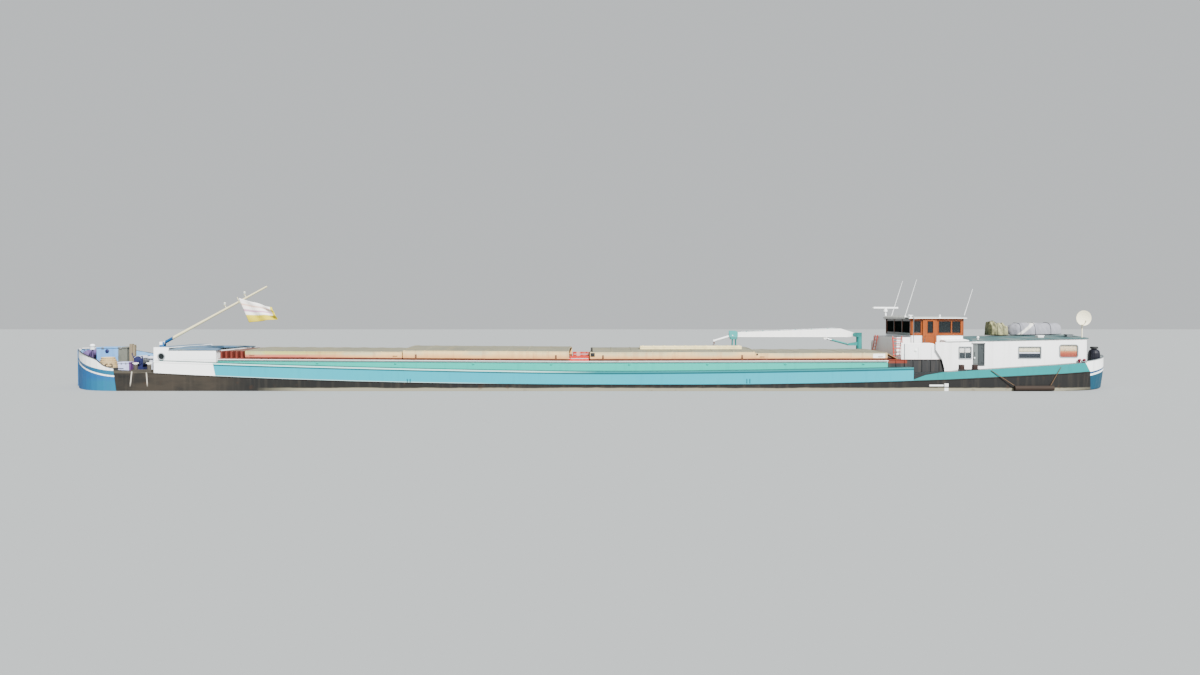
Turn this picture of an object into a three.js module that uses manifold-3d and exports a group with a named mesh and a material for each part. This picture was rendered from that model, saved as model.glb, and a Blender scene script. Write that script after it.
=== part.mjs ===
// River barge at half scale: 24.9 m long and 3.3 m wide, all sizes in millimetres.
// +X points to the bow, +Y to port and +Z up; the origin is under the middle of the flat bottom.
import * as THREE from 'three';
import { mergeVertices } from 'three/addons/utils/BufferGeometryUtils.js';
import Module from 'manifold-3d';

const wasm = await Module();
wasm.setup();

// Driving dimensions
const STEM = 12500;
const STERN = -12400;
const HALF_BEAM = 1650;
const STRAKE = 8; // how far the raised side stands proud of the hull
const SEAT = 0.3; // gap left between pieces that rest on each other
const CLEAR = 6; // gap left between pieces that pass each other
const PLATE = 12;

// Main places along the barge
const RAISED_FORE = 9920;
const RAISED_AFT = -7348;
const HOLD = { fore: 8580, aft: -6840, half: 1290, floor: 90 };
const ENGINE_ROOM = { fore: -6960, aft: -8120, half: 1150, floor: 100 };
const COAMING = { fore: 8600, aft: -6860, half: 1305, railOut: 1352, railIn: 1262, kink: 252 };
const CASING = { fore: -6870, aft: -8165, half: 1300, top: 1805, wall: 25 };
const BASE = { fore: -7150, aft: -8695, half: 1000, ledge: 2305, top: 2345, wall: 25 };
const WHEELHOUSE = { fore: -7480, aft: -8695, half: 1000, top: 2745, wall: 25 };
const CABIN = { fore: -8170, aft: -11420, half: 1350, wall: 25, wing: -7950 };
const FORE_HOUSE = { fore: 10076, step: 9730, aft: 8640, half: 1300, top: 2013, foreTop: 2085, wall: 25 };

// The mast pivots in its tabernacle and leans aft over the fore house.
const MAST = { x: 10430, z: 2130, length: 2900, lean: 28.6, rootRadius: 38, tipRadius: 20 };

// The deck crane stands on the starboard gangway with its boom laid forward.
const CRANE = {
  x: -6910, y: -1475, turnZ: 1790, topZ: 2370,
  pivotX: -6780, pivotZ: 2320,
  eyeX: -6030, eyeZ: 2226,
  footX: -6640, footZ: 2066,
  headX: -3700, jibX: -3640, jibZ: 2300, jibTipX: -3170, jibTipZ: 2160,
};
const BOOM_LOW = 2255;
const RUDDER = { x: -11650, fore: -11490, aft: -12150, low: 56, high: 880 };
const PROPELLER = { x: -11230, z: 500, radius: 275 };

// Sheer lines: heights over X as power curves from their lowest points.
const lowSheerCurve = x => (x > -1800
  ? 1250 + 268 * ((x + 1800) / 11780) ** 2.5
  : 1250 + 283 * (Math.min(-1800 - x, 9470) / 9470) ** 2.2);
const gangwayCurve = x => (x > -400
  ? 1540 + 195 * ((x + 400) / 8920) ** 1.5
  : 1540 + 95 * ((-400 - x) / 6948) ** 1.6);
const aftDeckCurve = x => 1500 + 237 * (Math.min(Math.max(RAISED_AFT - x, 0), 3922) / 3922) ** 1.25;
const coamingTop = x => (x > COAMING.kink
  ? 1765 + (47 * (x - COAMING.kink)) / (COAMING.fore - COAMING.kink)
  : 1765 + (15 * (COAMING.kink - x)) / (COAMING.kink - COAMING.aft));
const cabinRoofLow = x => 2215 + (65 * (CABIN.fore - x)) / (CABIN.fore - CABIN.aft);

// Hull outline at each level: bluff bow, straight sides, then a counter or a tapered run.
// The last level follows the low sheer line, so it has no height of its own.
const BOW_STEPS = 12;
const STERN_STEPS = 12;
const STRAIGHT_X = [
  RAISED_FORE, 9000, 8000, 7000, 5500, 4000, 2500, 1000, COAMING.kink, -800, -2400, -4000, -5500, -6500,
  -7000, RAISED_AFT, -8170,
];
const HULL_LEVELS = [
  // z, stem, shoulder, half beam, start of run, tail, half width at the tail, bow power, stern power
  [0, 11750, 9990, 1585, -8180, -11000, 40, 1.3, 1],
  [65, 12050, 10050, 1650, -8180, -11040, 45, 1.2, 1],
  [400, 12400, 10250, 1650, -8250, -11050, 45, 1.15, 1],
  [700, 12480, 10350, 1650, -8400, -11060, 45, 1.15, 0.9],
  [890, 12480, 10400, 1650, -9000, -11200, 60, 1.15, 0.8],
  [985, 12480, 10400, 1650, -10200, -12180, 12, 1.15, 0.8],
  [1120, 12480, 10400, 1650, -10600, -12350, 12, 1.15, 0.8],
  [null, 12480, 10400, 1650, -10700, STERN, 12, 1.15, 0.8],
];
const BOW_ROUND = 3.3;
const STERN_ROUND = 2.4;
const STEM_HALF = 12;

// Port half of one level's outline from stem to stern, as [x, y] pairs.
function outlineOf([, stem, shoulder, half, run, tail, tailHalf, bowPower, sternPower]) {
  const curved = (from, to, endHalf, round, power, t) =>
    [from + (to - from) * t, endHalf + (half - endHalf) * Math.max(1 - t ** round, 0) ** power];
  const points = STRAIGHT_X.map(x => [x, half]);
  for (let i = 0; i <= BOW_STEPS; i++) {
    points.unshift(curved(shoulder, stem, STEM_HALF, BOW_ROUND, bowPower, i / BOW_STEPS));
  }
  for (let i = 0; i <= STERN_STEPS; i++) {
    const t = Math.sin((i / STERN_STEPS) * (Math.PI / 2));
    points.push(curved(run, tail, tailHalf, STERN_ROUND, sternPower, t));
  }
  return points;
}

const DECK_OUTLINE = outlineOf(HULL_LEVELS.at(-1));
const STATIONS = DECK_OUTLINE.map(([x]) => x);

// A sheer line made of straight stretches between the hull's stations.
function alongStations(curve) {
  return x => {
    const found = STATIONS.findIndex(station => station <= x);
    const i = found < 0 ? STATIONS.length - 1 : Math.max(found, 1);
    const share = (x - STATIONS[i - 1]) / (STATIONS[i] - STATIONS[i - 1]);
    return THREE.MathUtils.lerp(curve(STATIONS[i - 1]), curve(STATIONS[i]), share);
  };
}

const lowSheer = alongStations(lowSheerCurve);
const gangway = alongStations(gangwayCurve);
const aftDeck = alongStations(aftDeckCurve);

// Closed meshes from points

// Builds a geometry and turns it right way out if its volume comes out negative.
function closed(points, faces) {
  let volume = 0;
  for (const [a, b, c] of faces) {
    volume += points[a].dot(points[b].clone().cross(points[c]));
  }
  const index = volume < 0 ? faces.flatMap(([a, b, c]) => [a, c, b]) : faces.flat();
  const geometry = new THREE.BufferGeometry().setFromPoints(points);
  geometry.setIndex(index);
  return geometry;
}

// Joins cross-section loops of equal counts, one after another along X, and caps the two ends.
function loft(loops) {
  const count = loops[0].length;
  const points = loops.flat();
  const faces = [];
  for (let row = 0; row + 1 < loops.length; row++) {
    for (let i = 0; i < count; i++) {
      const a = row * count + i;
      const b = row * count + ((i + 1) % count);
      faces.push([a, b, a + count], [b, b + count, a + count]);
    }
  }
  const sectionOf = loop => loop.map(p => new THREE.Vector2(p.y, p.z));
  for (const row of [0, loops.length - 1]) {
    const section = sectionOf(loops[row]);
    const way = Math.sign(THREE.ShapeUtils.area(section)) * (row === 0 ? -1 : 1);
    for (const corners of THREE.ShapeUtils.triangulateShape(section, [])) {
      const [a, b, c] = corners.map(i => row * count + i);
      const same = THREE.ShapeUtils.area(corners.map(i => section[i])) * way > 0;
      faces.push(same ? [a, b, c] : [a, c, b]);
    }
  }
  return closed(points, faces);
}

// A body whose decks and bottom run straight across from port to starboard.
// Each level is the port half of its outline, as [x, y, z] from fore to aft.
function shipBody(levels) {
  const count = levels[0].length;
  const points = levels.flatMap(level => [
    ...level.map(([x, y, z]) => new THREE.Vector3(x, y, z)),
    ...level.map(([x, y, z]) => new THREE.Vector3(x, -y, z)),
  ]);
  const port = (level, i) => level * 2 * count + i;
  const starboard = (level, i) => port(level, i) + count;
  const faces = [];
  const quad = (a, b, c, d) => faces.push([a, b, c], [a, c, d]);
  const top = levels.length - 1;
  for (let i = 0; i + 1 < count; i++) {
    quad(port(0, i), port(0, i + 1), starboard(0, i + 1), starboard(0, i));
    quad(port(top, i), starboard(top, i), starboard(top, i + 1), port(top, i + 1));
    for (let level = 0; level < top; level++) {
      quad(port(level, i), port(level + 1, i), port(level + 1, i + 1), port(level, i + 1));
      quad(starboard(level, i), starboard(level, i + 1), starboard(level + 1, i + 1), starboard(level + 1, i));
    }
  }
  for (let level = 0; level < top; level++) {
    quad(port(level, 0), starboard(level, 0), starboard(level + 1, 0), port(level + 1, 0));
    const last = count - 1;
    quad(port(level, last), port(level + 1, last), starboard(level + 1, last), starboard(level, last));
  }
  return closed(points, faces);
}

// A slab between two height lines, along the stations from fore to aft.
function slab(fore, aft, half, low, high) {
  const inside = STATIONS.filter(x => x < fore - 1 && x > aft + 1);
  const places = [fore, ...inside, aft];
  const level = height => places.map(x => [x, half, height(x)]);
  return shipBody([level(low), level(high)]);
}

// The same between two height lines over the deck's own outline.
function outlineSlab(outline, low, high) {
  const level = height => outline.map(([x, y]) => [x, y, height(x)]);
  return shipBody([level(low), level(high)]);
}

// A wall of one thickness inside a path of [x, y] points.
function wallAlong(path, thickness, low, high) {
  const loops = path.map(([x, y], i) => {
    const before = path[Math.max(i - 1, 0)];
    const after = path[Math.min(i + 1, path.length - 1)];
    const along = new THREE.Vector2(after[0] - before[0], after[1] - before[1]).normalize();
    const inward = new THREE.Vector2(along.y, -along.x);
    if (inward.x * x + inward.y * y > 0) {
      inward.negate();
    }
    const inner = [x + inward.x * thickness, y + inward.y * thickness];
    return [
      new THREE.Vector3(x, y, low(x)),
      new THREE.Vector3(x, y, high(x)),
      new THREE.Vector3(...inner, high(x)),
      new THREE.Vector3(...inner, low(x)),
    ];
  });
  return loftWall(loops);
}

// Joins wall sections whose end caps are plain quads.
function loftWall(loops) {
  const points = loops.flat();
  const faces = [];
  const last = (loops.length - 1) * 4;
  for (let row = 0; row < last; row += 4) {
    for (let i = 0; i < 4; i++) {
      const j = (i + 1) % 4;
      faces.push([row + i, row + j, row + 4 + i], [row + j, row + 4 + j, row + 4 + i]);
    }
  }
  faces.push([0, 2, 1], [0, 3, 2], [last, last + 1, last + 2], [last, last + 2, last + 3]);
  return closed(points, faces);
}

// Plain shapes

function box(x0, x1, y0, y1, z0, z1) {
  const geometry = new THREE.BoxGeometry(x1 - x0, y1 - y0, z1 - z0);
  return geometry.translate((x0 + x1) / 2, (y0 + y1) / 2, (z0 + z1) / 2);
}

function extruded(points, depth) {
  const shape = new THREE.Shape(points.map(([a, b]) => new THREE.Vector2(a, b)));
  return new THREE.ExtrudeGeometry(shape, { depth, bevelEnabled: false, curveSegments: 8 });
}

// A side profile of [x, z] points, carried across the barge.
function sideProfile(points, y0, y1) {
  return extruded(points, y1 - y0).rotateX(Math.PI / 2).translate(0, y1, 0);
}

// A cross-section of [y, z] points, carried along the barge.
function crossSection(points, x0, x1) {
  const turn = new THREE.Matrix4().makeBasis(
    new THREE.Vector3(0, 1, 0), new THREE.Vector3(0, 0, 1), new THREE.Vector3(1, 0, 0));
  return extruded(points, x1 - x0).applyMatrix4(turn).translate(x0, 0, 0);
}

// A plan of [x, y] points, carried upwards.
function planShape(points, z0, z1) {
  return extruded(points, z1 - z0).translate(0, 0, z0);
}

// A round bar between two points, tapered if its radii differ.
function bar(from, to, radius, endRadius = radius, sides = 12) {
  const start = new THREE.Vector3(...from);
  const way = new THREE.Vector3(...to).sub(start);
  const geometry = new THREE.CylinderGeometry(endRadius, radius, way.length(), sides);
  geometry.translate(0, way.length() / 2, 0);
  const turn = new THREE.Quaternion().setFromUnitVectors(new THREE.Vector3(0, 1, 0), way.normalize());
  return geometry.applyQuaternion(turn).translate(...from);
}

// A turned piece from a profile of [radius, z] points that starts and ends on its axis.
function turned(profile, x, y, z, sides = 16) {
  const points = profile.map(([r, h]) => new THREE.Vector2(r, h));
  return new THREE.LatheGeometry(points, sides).rotateX(Math.PI / 2).translate(x, y, z);
}

function arc(half, edge, crown, steps = 8) {
  const points = [];
  for (let i = 0; i <= steps; i++) {
    const y = -half + (2 * half * i) / steps;
    points.push([y, crown - (crown - edge) * (y / half) ** 2]);
  }
  return points;
}

// Joining and cutting solids

function solidOf(geometry) {
  const plain = geometry.clone();
  plain.deleteAttribute('normal');
  plain.deleteAttribute('uv');
  const merged = mergeVertices(plain, 1e-3);
  const mesh = new wasm.Mesh({
    numProp: 3,
    vertProperties: new Float32Array(merged.attributes.position.array),
    triVerts: new Uint32Array(withoutSlivers(merged.index.array)),
  });
  return new wasm.Manifold(mesh);
}

// Triangles that lost a corner when vertices were merged are dropped.
function withoutSlivers(index) {
  const kept = [];
  for (let i = 0; i < index.length; i += 3) {
    const [a, b, c] = [index[i], index[i + 1], index[i + 2]];
    if (a !== b && b !== c && a !== c) {
      kept.push(a, b, c);
    }
  }
  return kept;
}

function geometryOf(solid) {
  const mesh = solid.getMesh();
  const geometry = new THREE.BufferGeometry();
  geometry.setAttribute('position', new THREE.BufferAttribute(new Float32Array(mesh.vertProperties), 3));
  geometry.setIndex(new THREE.BufferAttribute(new Uint32Array(mesh.triVerts), 1));
  return geometry;
}

function joined(...geometries) {
  return geometryOf(geometries.map(solidOf).reduce((whole, next) => whole.add(next)));
}

function cut(geometry, ...cutters) {
  return geometryOf(cutters.map(solidOf).reduce((left, next) => left.subtract(next), solidOf(geometry)));
}

// The same shape on the other side of the barge.
function mirrored(geometry) {
  const copy = geometry.clone().scale(1, -1, 1);
  const index = copy.index ? Array.from(copy.index.array) : [...Array(copy.attributes.position.count).keys()];
  for (let i = 0; i < index.length; i += 3) {
    [index[i], index[i + 1]] = [index[i + 1], index[i]];
  }
  copy.setIndex(index);
  return copy;
}

// What lies under each deck, raised by one seat, to cut the feet of deck pieces
const UNDER = 500;
const foreDeckCutter = outlineSlab(
  DECK_OUTLINE.filter(([x]) => x >= RAISED_FORE), x => lowSheer(x) - UNDER, x => lowSheer(x) + SEAT);
const gangwayCutter = slab(
  RAISED_FORE + SEAT, RAISED_AFT - SEAT, HALF_BEAM + 50, x => gangway(x) - UNDER, x => gangway(x) + SEAT);
const aftDeckCutter = outlineSlab(
  DECK_OUTLINE.filter(([x]) => x <= RAISED_AFT + 1), x => aftDeck(x) - UNDER, x => aftDeck(x) + SEAT);
const onForeDeck = geometry => cut(geometry, foreDeckCutter);
const onAftDeck = geometry => cut(geometry, aftDeckCutter);

// Scene

const COLOURS = {
  black: ['#35373b', 0.7, 0.2],
  turquoise: ['#5fb3b5', 0.5, 0.1],
  white: ['#eceeee', 0.5, 0],
  cream: ['#d9d3bd', 0.55, 0],
  blue: ['#3f7fb0', 0.5, 0.1],
  paleBlue: ['#9fb8d0', 0.5, 0.1],
  navy: ['#2b3252', 0.55, 0.2],
  grey: ['#a7aaab', 0.6, 0.3],
  darkGrey: ['#55595c', 0.65, 0.3],
  tealGrey: ['#6f8c8d', 0.6, 0.1],
  teal: ['#2f8c88', 0.5, 0.1],
  redOxide: ['#8e4436', 0.75, 0.1],
  timber: ['#b08a5a', 0.7, 0],
  wood: ['#b56a2d', 0.35, 0],
  tan: ['#c8a377', 0.85, 0],
  olive: ['#a5a276', 0.9, 0],
  canvas: ['#a9a9ad', 0.85, 0],
  bronze: ['#9c7a3c', 0.4, 0.8],
  steel: ['#b9bcbe', 0.35, 0.8],
};

const barge = new THREE.Group();
barge.name = 'river_barge';

function add(name, geometry, colour) {
  const [color, roughness, metalness] = COLOURS[colour];
  const mesh = new THREE.Mesh(geometry, new THREE.MeshStandardMaterial({ color, roughness, metalness }));
  mesh.name = name;
  barge.add(mesh);
}

// Hull and decks

function hull() {
  const shell = shipBody(HULL_LEVELS.map(level =>
    outlineOf(level).map(([x, y], i) => [x, y, level[0] ?? lowSheer(STATIONS[i])])));
  const solePiece = box(RUDDER.x - 60, -10900, -40, 40, 0, 50);
  const shaftBore = bar([-10900, 0, PROPELLER.z], [-11200, 0, PROPELLER.z], 27, 27, 16);
  const stockBore = bar([RUDDER.x, 0, 900], [RUDDER.x, 0, 1160], 31, 31, 16);
  const pintleBore = bar([RUDDER.x, 0, 20], [RUDDER.x, 0, 60], 16.6, 16.6, 16);
  const hold = box(HOLD.aft, HOLD.fore, -HOLD.half, HOLD.half, HOLD.floor, 2000);
  const room = ENGINE_ROOM;
  const engineRoom = box(room.aft, room.fore, -room.half, room.half, room.floor, 2000);
  return cut(joined(shell, solePiece), shaftBore, stockBore, pintleBore, hold, engineRoom);
}

// Raised sides with the gangway on top, the hold opening and a rubbing bar along the edge.
function sideDecks() {
  const sides = slab(RAISED_FORE, RAISED_AFT, HALF_BEAM, x => lowSheer(x) + SEAT, gangway);
  const rubbingBar = slab(RAISED_FORE, RAISED_AFT, HALF_BEAM + STRAKE, x => gangway(x) - 32, gangway);
  const hold = box(HOLD.aft, HOLD.fore, -HOLD.half, HOLD.half, 1000, 2000);
  const room = ENGINE_ROOM;
  const engineRoom = box(RAISED_AFT - 10, room.fore, -room.half, room.half, 1000, 2000);
  return cut(joined(sides, rubbingBar), hold, engineRoom);
}

function coaming() {
  const { fore, aft, half, railOut, railIn } = COAMING;
  const plates = slab(fore, aft, half, x => gangway(x) + SEAT, coamingTop);
  const rail = slab(fore, aft, railOut, x => coamingTop(x) - 10, coamingTop);
  const opening = box(HOLD.aft, HOLD.fore, -HOLD.half, HOLD.half, 1000, 2000);
  const railOpening = box(aft + 30, fore - 30, -railIn, railIn, 1000, 2000);
  const low = cut(plates, opening);
  return joined(low, cut(rail, railOpening));
}

function aftDeckBody() {
  const outline = DECK_OUTLINE.filter(([x]) => x <= RAISED_AFT + 1);
  const deck = outlineSlab(outline, x => lowSheer(x) + SEAT, aftDeck);
  const room = ENGINE_ROOM;
  const engineRoom = box(room.aft, RAISED_AFT + 50, -room.half, room.half, 1000, 2200);
  const cabinFloor = box(CABIN.aft + 40, CABIN.fore - 40, -1310, 1310, 1000, 2200);
  const startGap = box(RAISED_AFT - SEAT, RAISED_AFT + 50, -2000, 2000, 1000, 2200);
  return cut(deck, engineRoom, cabinFloor, startGap);
}

// Bow bulwark: low rail that sweeps up to the stem.
const BULWARK_TOP = [
  // x, z
  [10400, 1606], [10780, 1612], [10905, 1623], [11080, 1667], [11300, 1820], [11640, 1905],
  [12020, 1985], [12480, 1985],
];

function heightIn(table, x) {
  const i = Math.max(table.findIndex(([place]) => place >= x), 1);
  const [[x0, z0], [x1, z1]] = [table[i - 1], table[i]];
  return THREE.MathUtils.lerp(z0, z1, (x - x0) / (x1 - x0));
}

function bowBulwark() {
  const port = DECK_OUTLINE.filter(([x]) => x >= 10600);
  const path = [...port.slice().reverse(), ...port.map(([x, y]) => [x, -y])];
  return wallAlong(path, 22, x => lowSheer(x) + SEAT, x => heightIn(BULWARK_TOP, x));
}

function sternRail() {
  const port = DECK_OUTLINE.filter(([x]) => x <= -11200);
  const path = [...port, ...port.map(([x, y]) => [x, -y]).reverse()];
  return wallAlong(path, 26, x => aftDeck(x) + SEAT, x => 1757 + (-11200 - x) * 0.085);
}

// Fore end

function foreHouse() {
  const { fore, step, aft, half, top, foreTop, wall } = FORE_HOUSE;
  const profile = [[aft, 1400], [fore, 1400], [fore, foreTop], [step, foreTop], [step, top], [aft, top]];
  const inside = sideProfile(
    [[aft + wall, 1300], [fore - wall, 1300], [fore - wall, foreTop - wall], [step + wall, foreTop - wall],
      [step + wall, top + 50], [aft + wall, top + 50]],
    -half + wall, half - wall);
  const porthole = bar([9900, -half - 10, 1870], [9900, half + 10, 1870], 70, 70, 20);
  const door = box(aft - 10, aft + wall + 10, -150, 150, 1812, top - 20);
  return cut(sideProfile(profile, -half, half), inside, porthole, door, foreDeckCutter, gangwayCutter);
}

function foreHouseRoof() {
  const { step, half, top } = FORE_HOUSE;
  const section = [...arc(half + 15, top + 14, 2076), [half + 15, top + SEAT], [-half - 15, top + SEAT]];
  const entrance = planShape([[8500, -1130], [9180, -620], [9180, 620], [8500, 1130]], top - 50, 2200);
  return cut(crossSection(section, 8610, step - SEAT), entrance);
}

// Red beams stowed on edge across the fore end of the hold, on one plate.
function hatchBeams() {
  const low = 1812 + SEAT;
  const pieces = [slab(8590, 7995, 1290, x => coamingTop(x) + SEAT, () => low + 14)];
  for (let i = 0; i < 5; i++) {
    const x = 8030 + i * 118;
    pieces.push(box(x, x + 44, -1285, 1285, low + 10, 1996));
  }
  return joined(...pieces);
}

function mastTabernacle() {
  const { x, z } = MAST;
  const cheek = y => box(x - 55, x + 55, y, y + 16, 1400, z + 45);
  const web = box(x - 70, x + 70, -70, 70, 1400, 1900);
  const pin = bar([x, -100, z], [x, 100, z], 17, 17, 16);
  return onForeDeck(cut(joined(cheek(-61), cheek(45), web), pin));
}

// The foremast: pole, pivot pin, lamp brackets and the toggle that holds the flag.
function alongMast(distance, side = 0, up = 0) {
  const angle = THREE.MathUtils.degToRad(MAST.lean);
  return [
    MAST.x - distance * Math.cos(angle) + up * Math.sin(angle),
    side,
    MAST.z + distance * Math.sin(angle) + up * Math.cos(angle),
  ];
}

function foremast() {
  const { x, z, length, rootRadius, tipRadius } = MAST;
  return joined(
    bar(alongMast(-40), alongMast(length), rootRadius, tipRadius, 14),
    bar([x, -66, z], [x, 66, z], 16, 16, 16),
    bar(alongMast(1780), alongMast(1780, 0, 110), 9),
    turned([[0, 0], [26, 0], [26, 60], [0, 72]], ...alongMast(1780, 0, 95), 10),
    bar(alongMast(2330), alongMast(2330, 0, 110), 9),
    turned([[0, 0], [26, 0], [26, 60], [0, 72]], ...alongMast(2330, 0, 95), 10),
    bar(alongMast(2150), alongMast(2150, 52), 8),
    bar(alongMast(2150, 45, -60), alongMast(2150, 45, 110), 7),
  );
}

// The flag hangs beside the mast from its toggle.
const FLAG_CORNERS = [[8550, 3235], [7740, 3008], [7595, 2728], [8305, 2643], [8450, 2900]];

function flag() {
  return sideProfile(FLAG_CORNERS, 52 + SEAT, 58);
}

function windlass() {
  const [x, z] = [12150, 1600];
  return onForeDeck(joined(
    box(x - 80, x + 80, -200, -175, z - 60, z + 350),
    box(x - 80, x + 80, 175, 200, z - 60, z + 350),
    bar([x, -190, z + 290], [x, 190, z + 290], 88, 88, 16),
    bar([x, -290, z + 290], [x, 290, z + 290], 50, 50, 14),
    box(x - 90, x + 90, -200, 200, z - 60, z + 150),
  ));
}

function bowLampStand() {
  const [x, y] = [11950, 380];
  return onForeDeck(joined(
    bar([x, y, 1500], [x, y, 2010], 22),
    turned([[0, 0], [55, 0], [62, 60], [58, 105], [36, 128], [0, 132]], x, y, 2000),
  ));
}

// Deck boxes: name, x from, x to, y from, y to, top, colour
const DECK_BOXES = [
  ['bow_locker', 10930, 11650, 330, 780, 2070, 'paleBlue'],
  ['deck_chest', 10560, 10860, 1120, 1380, 1745, 'navy'],
];

function deckBox([, x0, x1, y0, y1, top]) {
  const lid = box(x0 - 12, x1 + 12, y0 - 12, y1 + 12, top - 26, top);
  return onForeDeck(joined(box(x0, x1, y0, y1, 1400, top - 24), lid));
}

function ropeCoil() {
  const section = [[115, 0], [228, 0], [232, 150], [205, 262], [135, 270], [108, 160], [115, 0]];
  const ring = new THREE.LatheGeometry(section.map(([r, h]) => new THREE.Vector2(r, h)), 20);
  return onForeDeck(ring.rotateX(Math.PI / 2).translate(11250, 1040, 1560));
}

function timberPosts() {
  return onForeDeck(joined(
    box(10800, 10874, 700, 790, 1400, 2145),
    box(10748, 10790, 700, 790, 1400, 2125),
    box(10740, 10884, 715, 775, 1680, 1760),
  ));
}

function foreWinch() {
  const [x, z] = [10590, 1745];
  return onForeDeck(joined(
    box(x - 100, x + 100, 560, 590, 1400, z + 120),
    box(x - 100, x + 100, 930, 960, 1400, z + 120),
    bar([x, 540, z], [x, 980, z], 92, 92, 16),
    box(x - 110, x + 110, 560, 960, 1400, 1600),
    bar([x, 980, z], [x, 1040, z], 60, 60, 14),
    bar([x, 500, z], [x, 560, z], 60, 60, 14),
  ));
}

// Two posts with broad caps on one plate
function doubleBollard(xs, y, deckZ, height, radius, seated) {
  const posts = xs.flatMap(x => [
    bar([x, y, deckZ - 60], [x, y, deckZ + height], radius, radius * 0.9, 14),
    bar([x, y, deckZ + height - 2], [x, y, deckZ + height + 16], radius * 1.35, radius * 1.35, 14),
  ]);
  const [low, high] = [Math.min(...xs) - radius * 1.6, Math.max(...xs) + radius * 1.6];
  const plate = box(low, high, y - radius * 1.5, y + radius * 1.5, deckZ - 60, deckZ + 22);
  return seated(joined(plate, ...posts));
}

const foreBollards = () => doubleBollard([10100, 10410], 1480, 1555, 165, 50, onForeDeck);
const aftBollards = () => doubleBollard([-8470, -8776], 1545, 1565, 95, 38, onAftDeck);

// Rolling hatch covers

// name: x fore, x aft, half width, edge height, crown height above the coaming, deep end plates, wheel side
const HATCHES = {
  hatch_fore_lower: { fore: 7965, aft: 4345, half: 1300, edge: 188, crown: 225, deep: 'fore', wheelsOut: false },
  hatch_fore_upper: { fore: 4320, aft: 495, half: 1335, edge: 218, crown: 288, deep: '', wheelsOut: true },
  hatch_aft_upper: { fore: 10, aft: -3795, half: 1335, edge: 202, crown: 266, deep: '', wheelsOut: true },
  hatch_aft_lower: { fore: -3800, aft: -6850, half: 1300, edge: 172, crown: 195, deep: 'aft', wheelsOut: false },
};
const HEADER_DEPTH = 26; // how far the shallow end plates of the upper covers reach below the crown

function hatchCover({ fore, aft, half, edge, crown, deep, wheelsOut }) {
  const inner = half - PLATE;
  const section = [
    [-half, CLEAR], ...arc(half, edge, crown), [half, CLEAR], [inner, CLEAR],
    ...arc(inner, edge - PLATE, crown - PLATE).reverse(), [-inner, CLEAR],
  ];
  const endPlate = (x, low) => crossSection(
    [[-inner - 2, low], ...arc(inner + 2, edge - 2, crown - 2), [inner + 2, low]], x, x + PLATE);
  const highArc = arc(inner - 5, edge - 4, crown - 4).filter(([y]) => Math.abs(y) < 700);
  const headerLow = crown - HEADER_DEPTH;
  const headerPlate = x => (wheelsOut
    ? crossSection([[-700, headerLow], ...highArc, [700, headerLow]], x, x + PLATE)
    : endPlate(x, edge - 30));
  const wheels = [];
  const wheelY = wheelsOut ? [half - 4, half + 14] : [half - 34, half - 8];
  for (const x of [fore - 300, aft + 300]) {
    for (const side of [-1, 1]) {
      wheels.push(bar([x, side * wheelY[0], 24 + SEAT], [x, side * wheelY[1], 24 + SEAT], 24, 24, 16));
    }
  }
  const ends = [
    deep === 'fore' ? endPlate(fore - PLATE, CLEAR) : headerPlate(fore - PLATE),
    deep === 'aft' ? endPlate(aft, CLEAR) : headerPlate(aft),
  ];
  return joined(crossSection(section, aft, fore), ...ends, ...wheels).applyMatrix4(alongCoaming(fore, aft));
}

// Sets a piece down along the coaming, with its upright edges kept upright.
function alongCoaming(fore, aft, lift = 0) {
  const slope = (coamingTop(fore) - coamingTop(aft)) / (fore - aft);
  const rise = coamingTop(aft) - slope * aft + lift;
  return new THREE.Matrix4().set(1, 0, 0, 0, 0, 1, 0, 0, slope, 0, 1, rise, 0, 0, 0, 1);
}

// A cleated board laid on the upper aft cover, port of its crown.
function gangplank() {
  const cover = HATCHES.hatch_aft_upper;
  const topAt = y => cover.crown - (cover.crown - cover.edge) * (y / cover.half) ** 2;
  const [y0, y1] = [430, 700];
  const top = topAt(y0) + 62;
  const section = [[y0, topAt(y0) + SEAT], [y1, topAt(y1) + SEAT], [y1, top], [y0, top]];
  return crossSection(section, -3570, -1170).applyMatrix4(alongCoaming(cover.fore, cover.aft, SEAT));
}

// Deck crane

function cranePedestal() {
  const { x, y, turnZ } = CRANE;
  return cut(joined(
    bar([x, y, 1500], [x, y, turnZ - SEAT], 78, 78, 20),
    bar([x, y, turnZ - 24], [x, y, turnZ - SEAT], 100, 100, 20),
    box(x - 130, x + 130, y - 130, y + 130, 1500, 1650),
  ), gangwayCutter);
}

function craneColumn() {
  const { x, y, turnZ, topZ, pivotX, pivotZ, footX, footZ } = CRANE;
  const lug = side => sideProfile(
    [[x, topZ - 130], [pivotX + 40, pivotZ - 40], [pivotX + 40, pivotZ + 40], [pivotX - 30, topZ], [x, topZ]],
    y + side - 8, y + side + 8);
  const footLug = side => sideProfile(
    [[x, footZ - 26], [footX + 28, footZ - 26], [footX + 28, footZ + 26], [x, footZ + 70]],
    y + side - 7, y + side + 7);
  return cut(joined(
    bar([x, y, turnZ], [x, y, topZ], 76, 72, 20),
    bar([x, y, turnZ], [x, y, turnZ + 26], 100, 100, 20),
    lug(-62), lug(62), footLug(-42), footLug(42),
  ),
  bar([pivotX, y - 100, pivotZ], [pivotX, y + 100, pivotZ], 16.6, 16.6, 16),
  bar([footX, y - 100, footZ], [footX, y + 100, footZ], 12.6, 12.6, 16));
}

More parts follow.
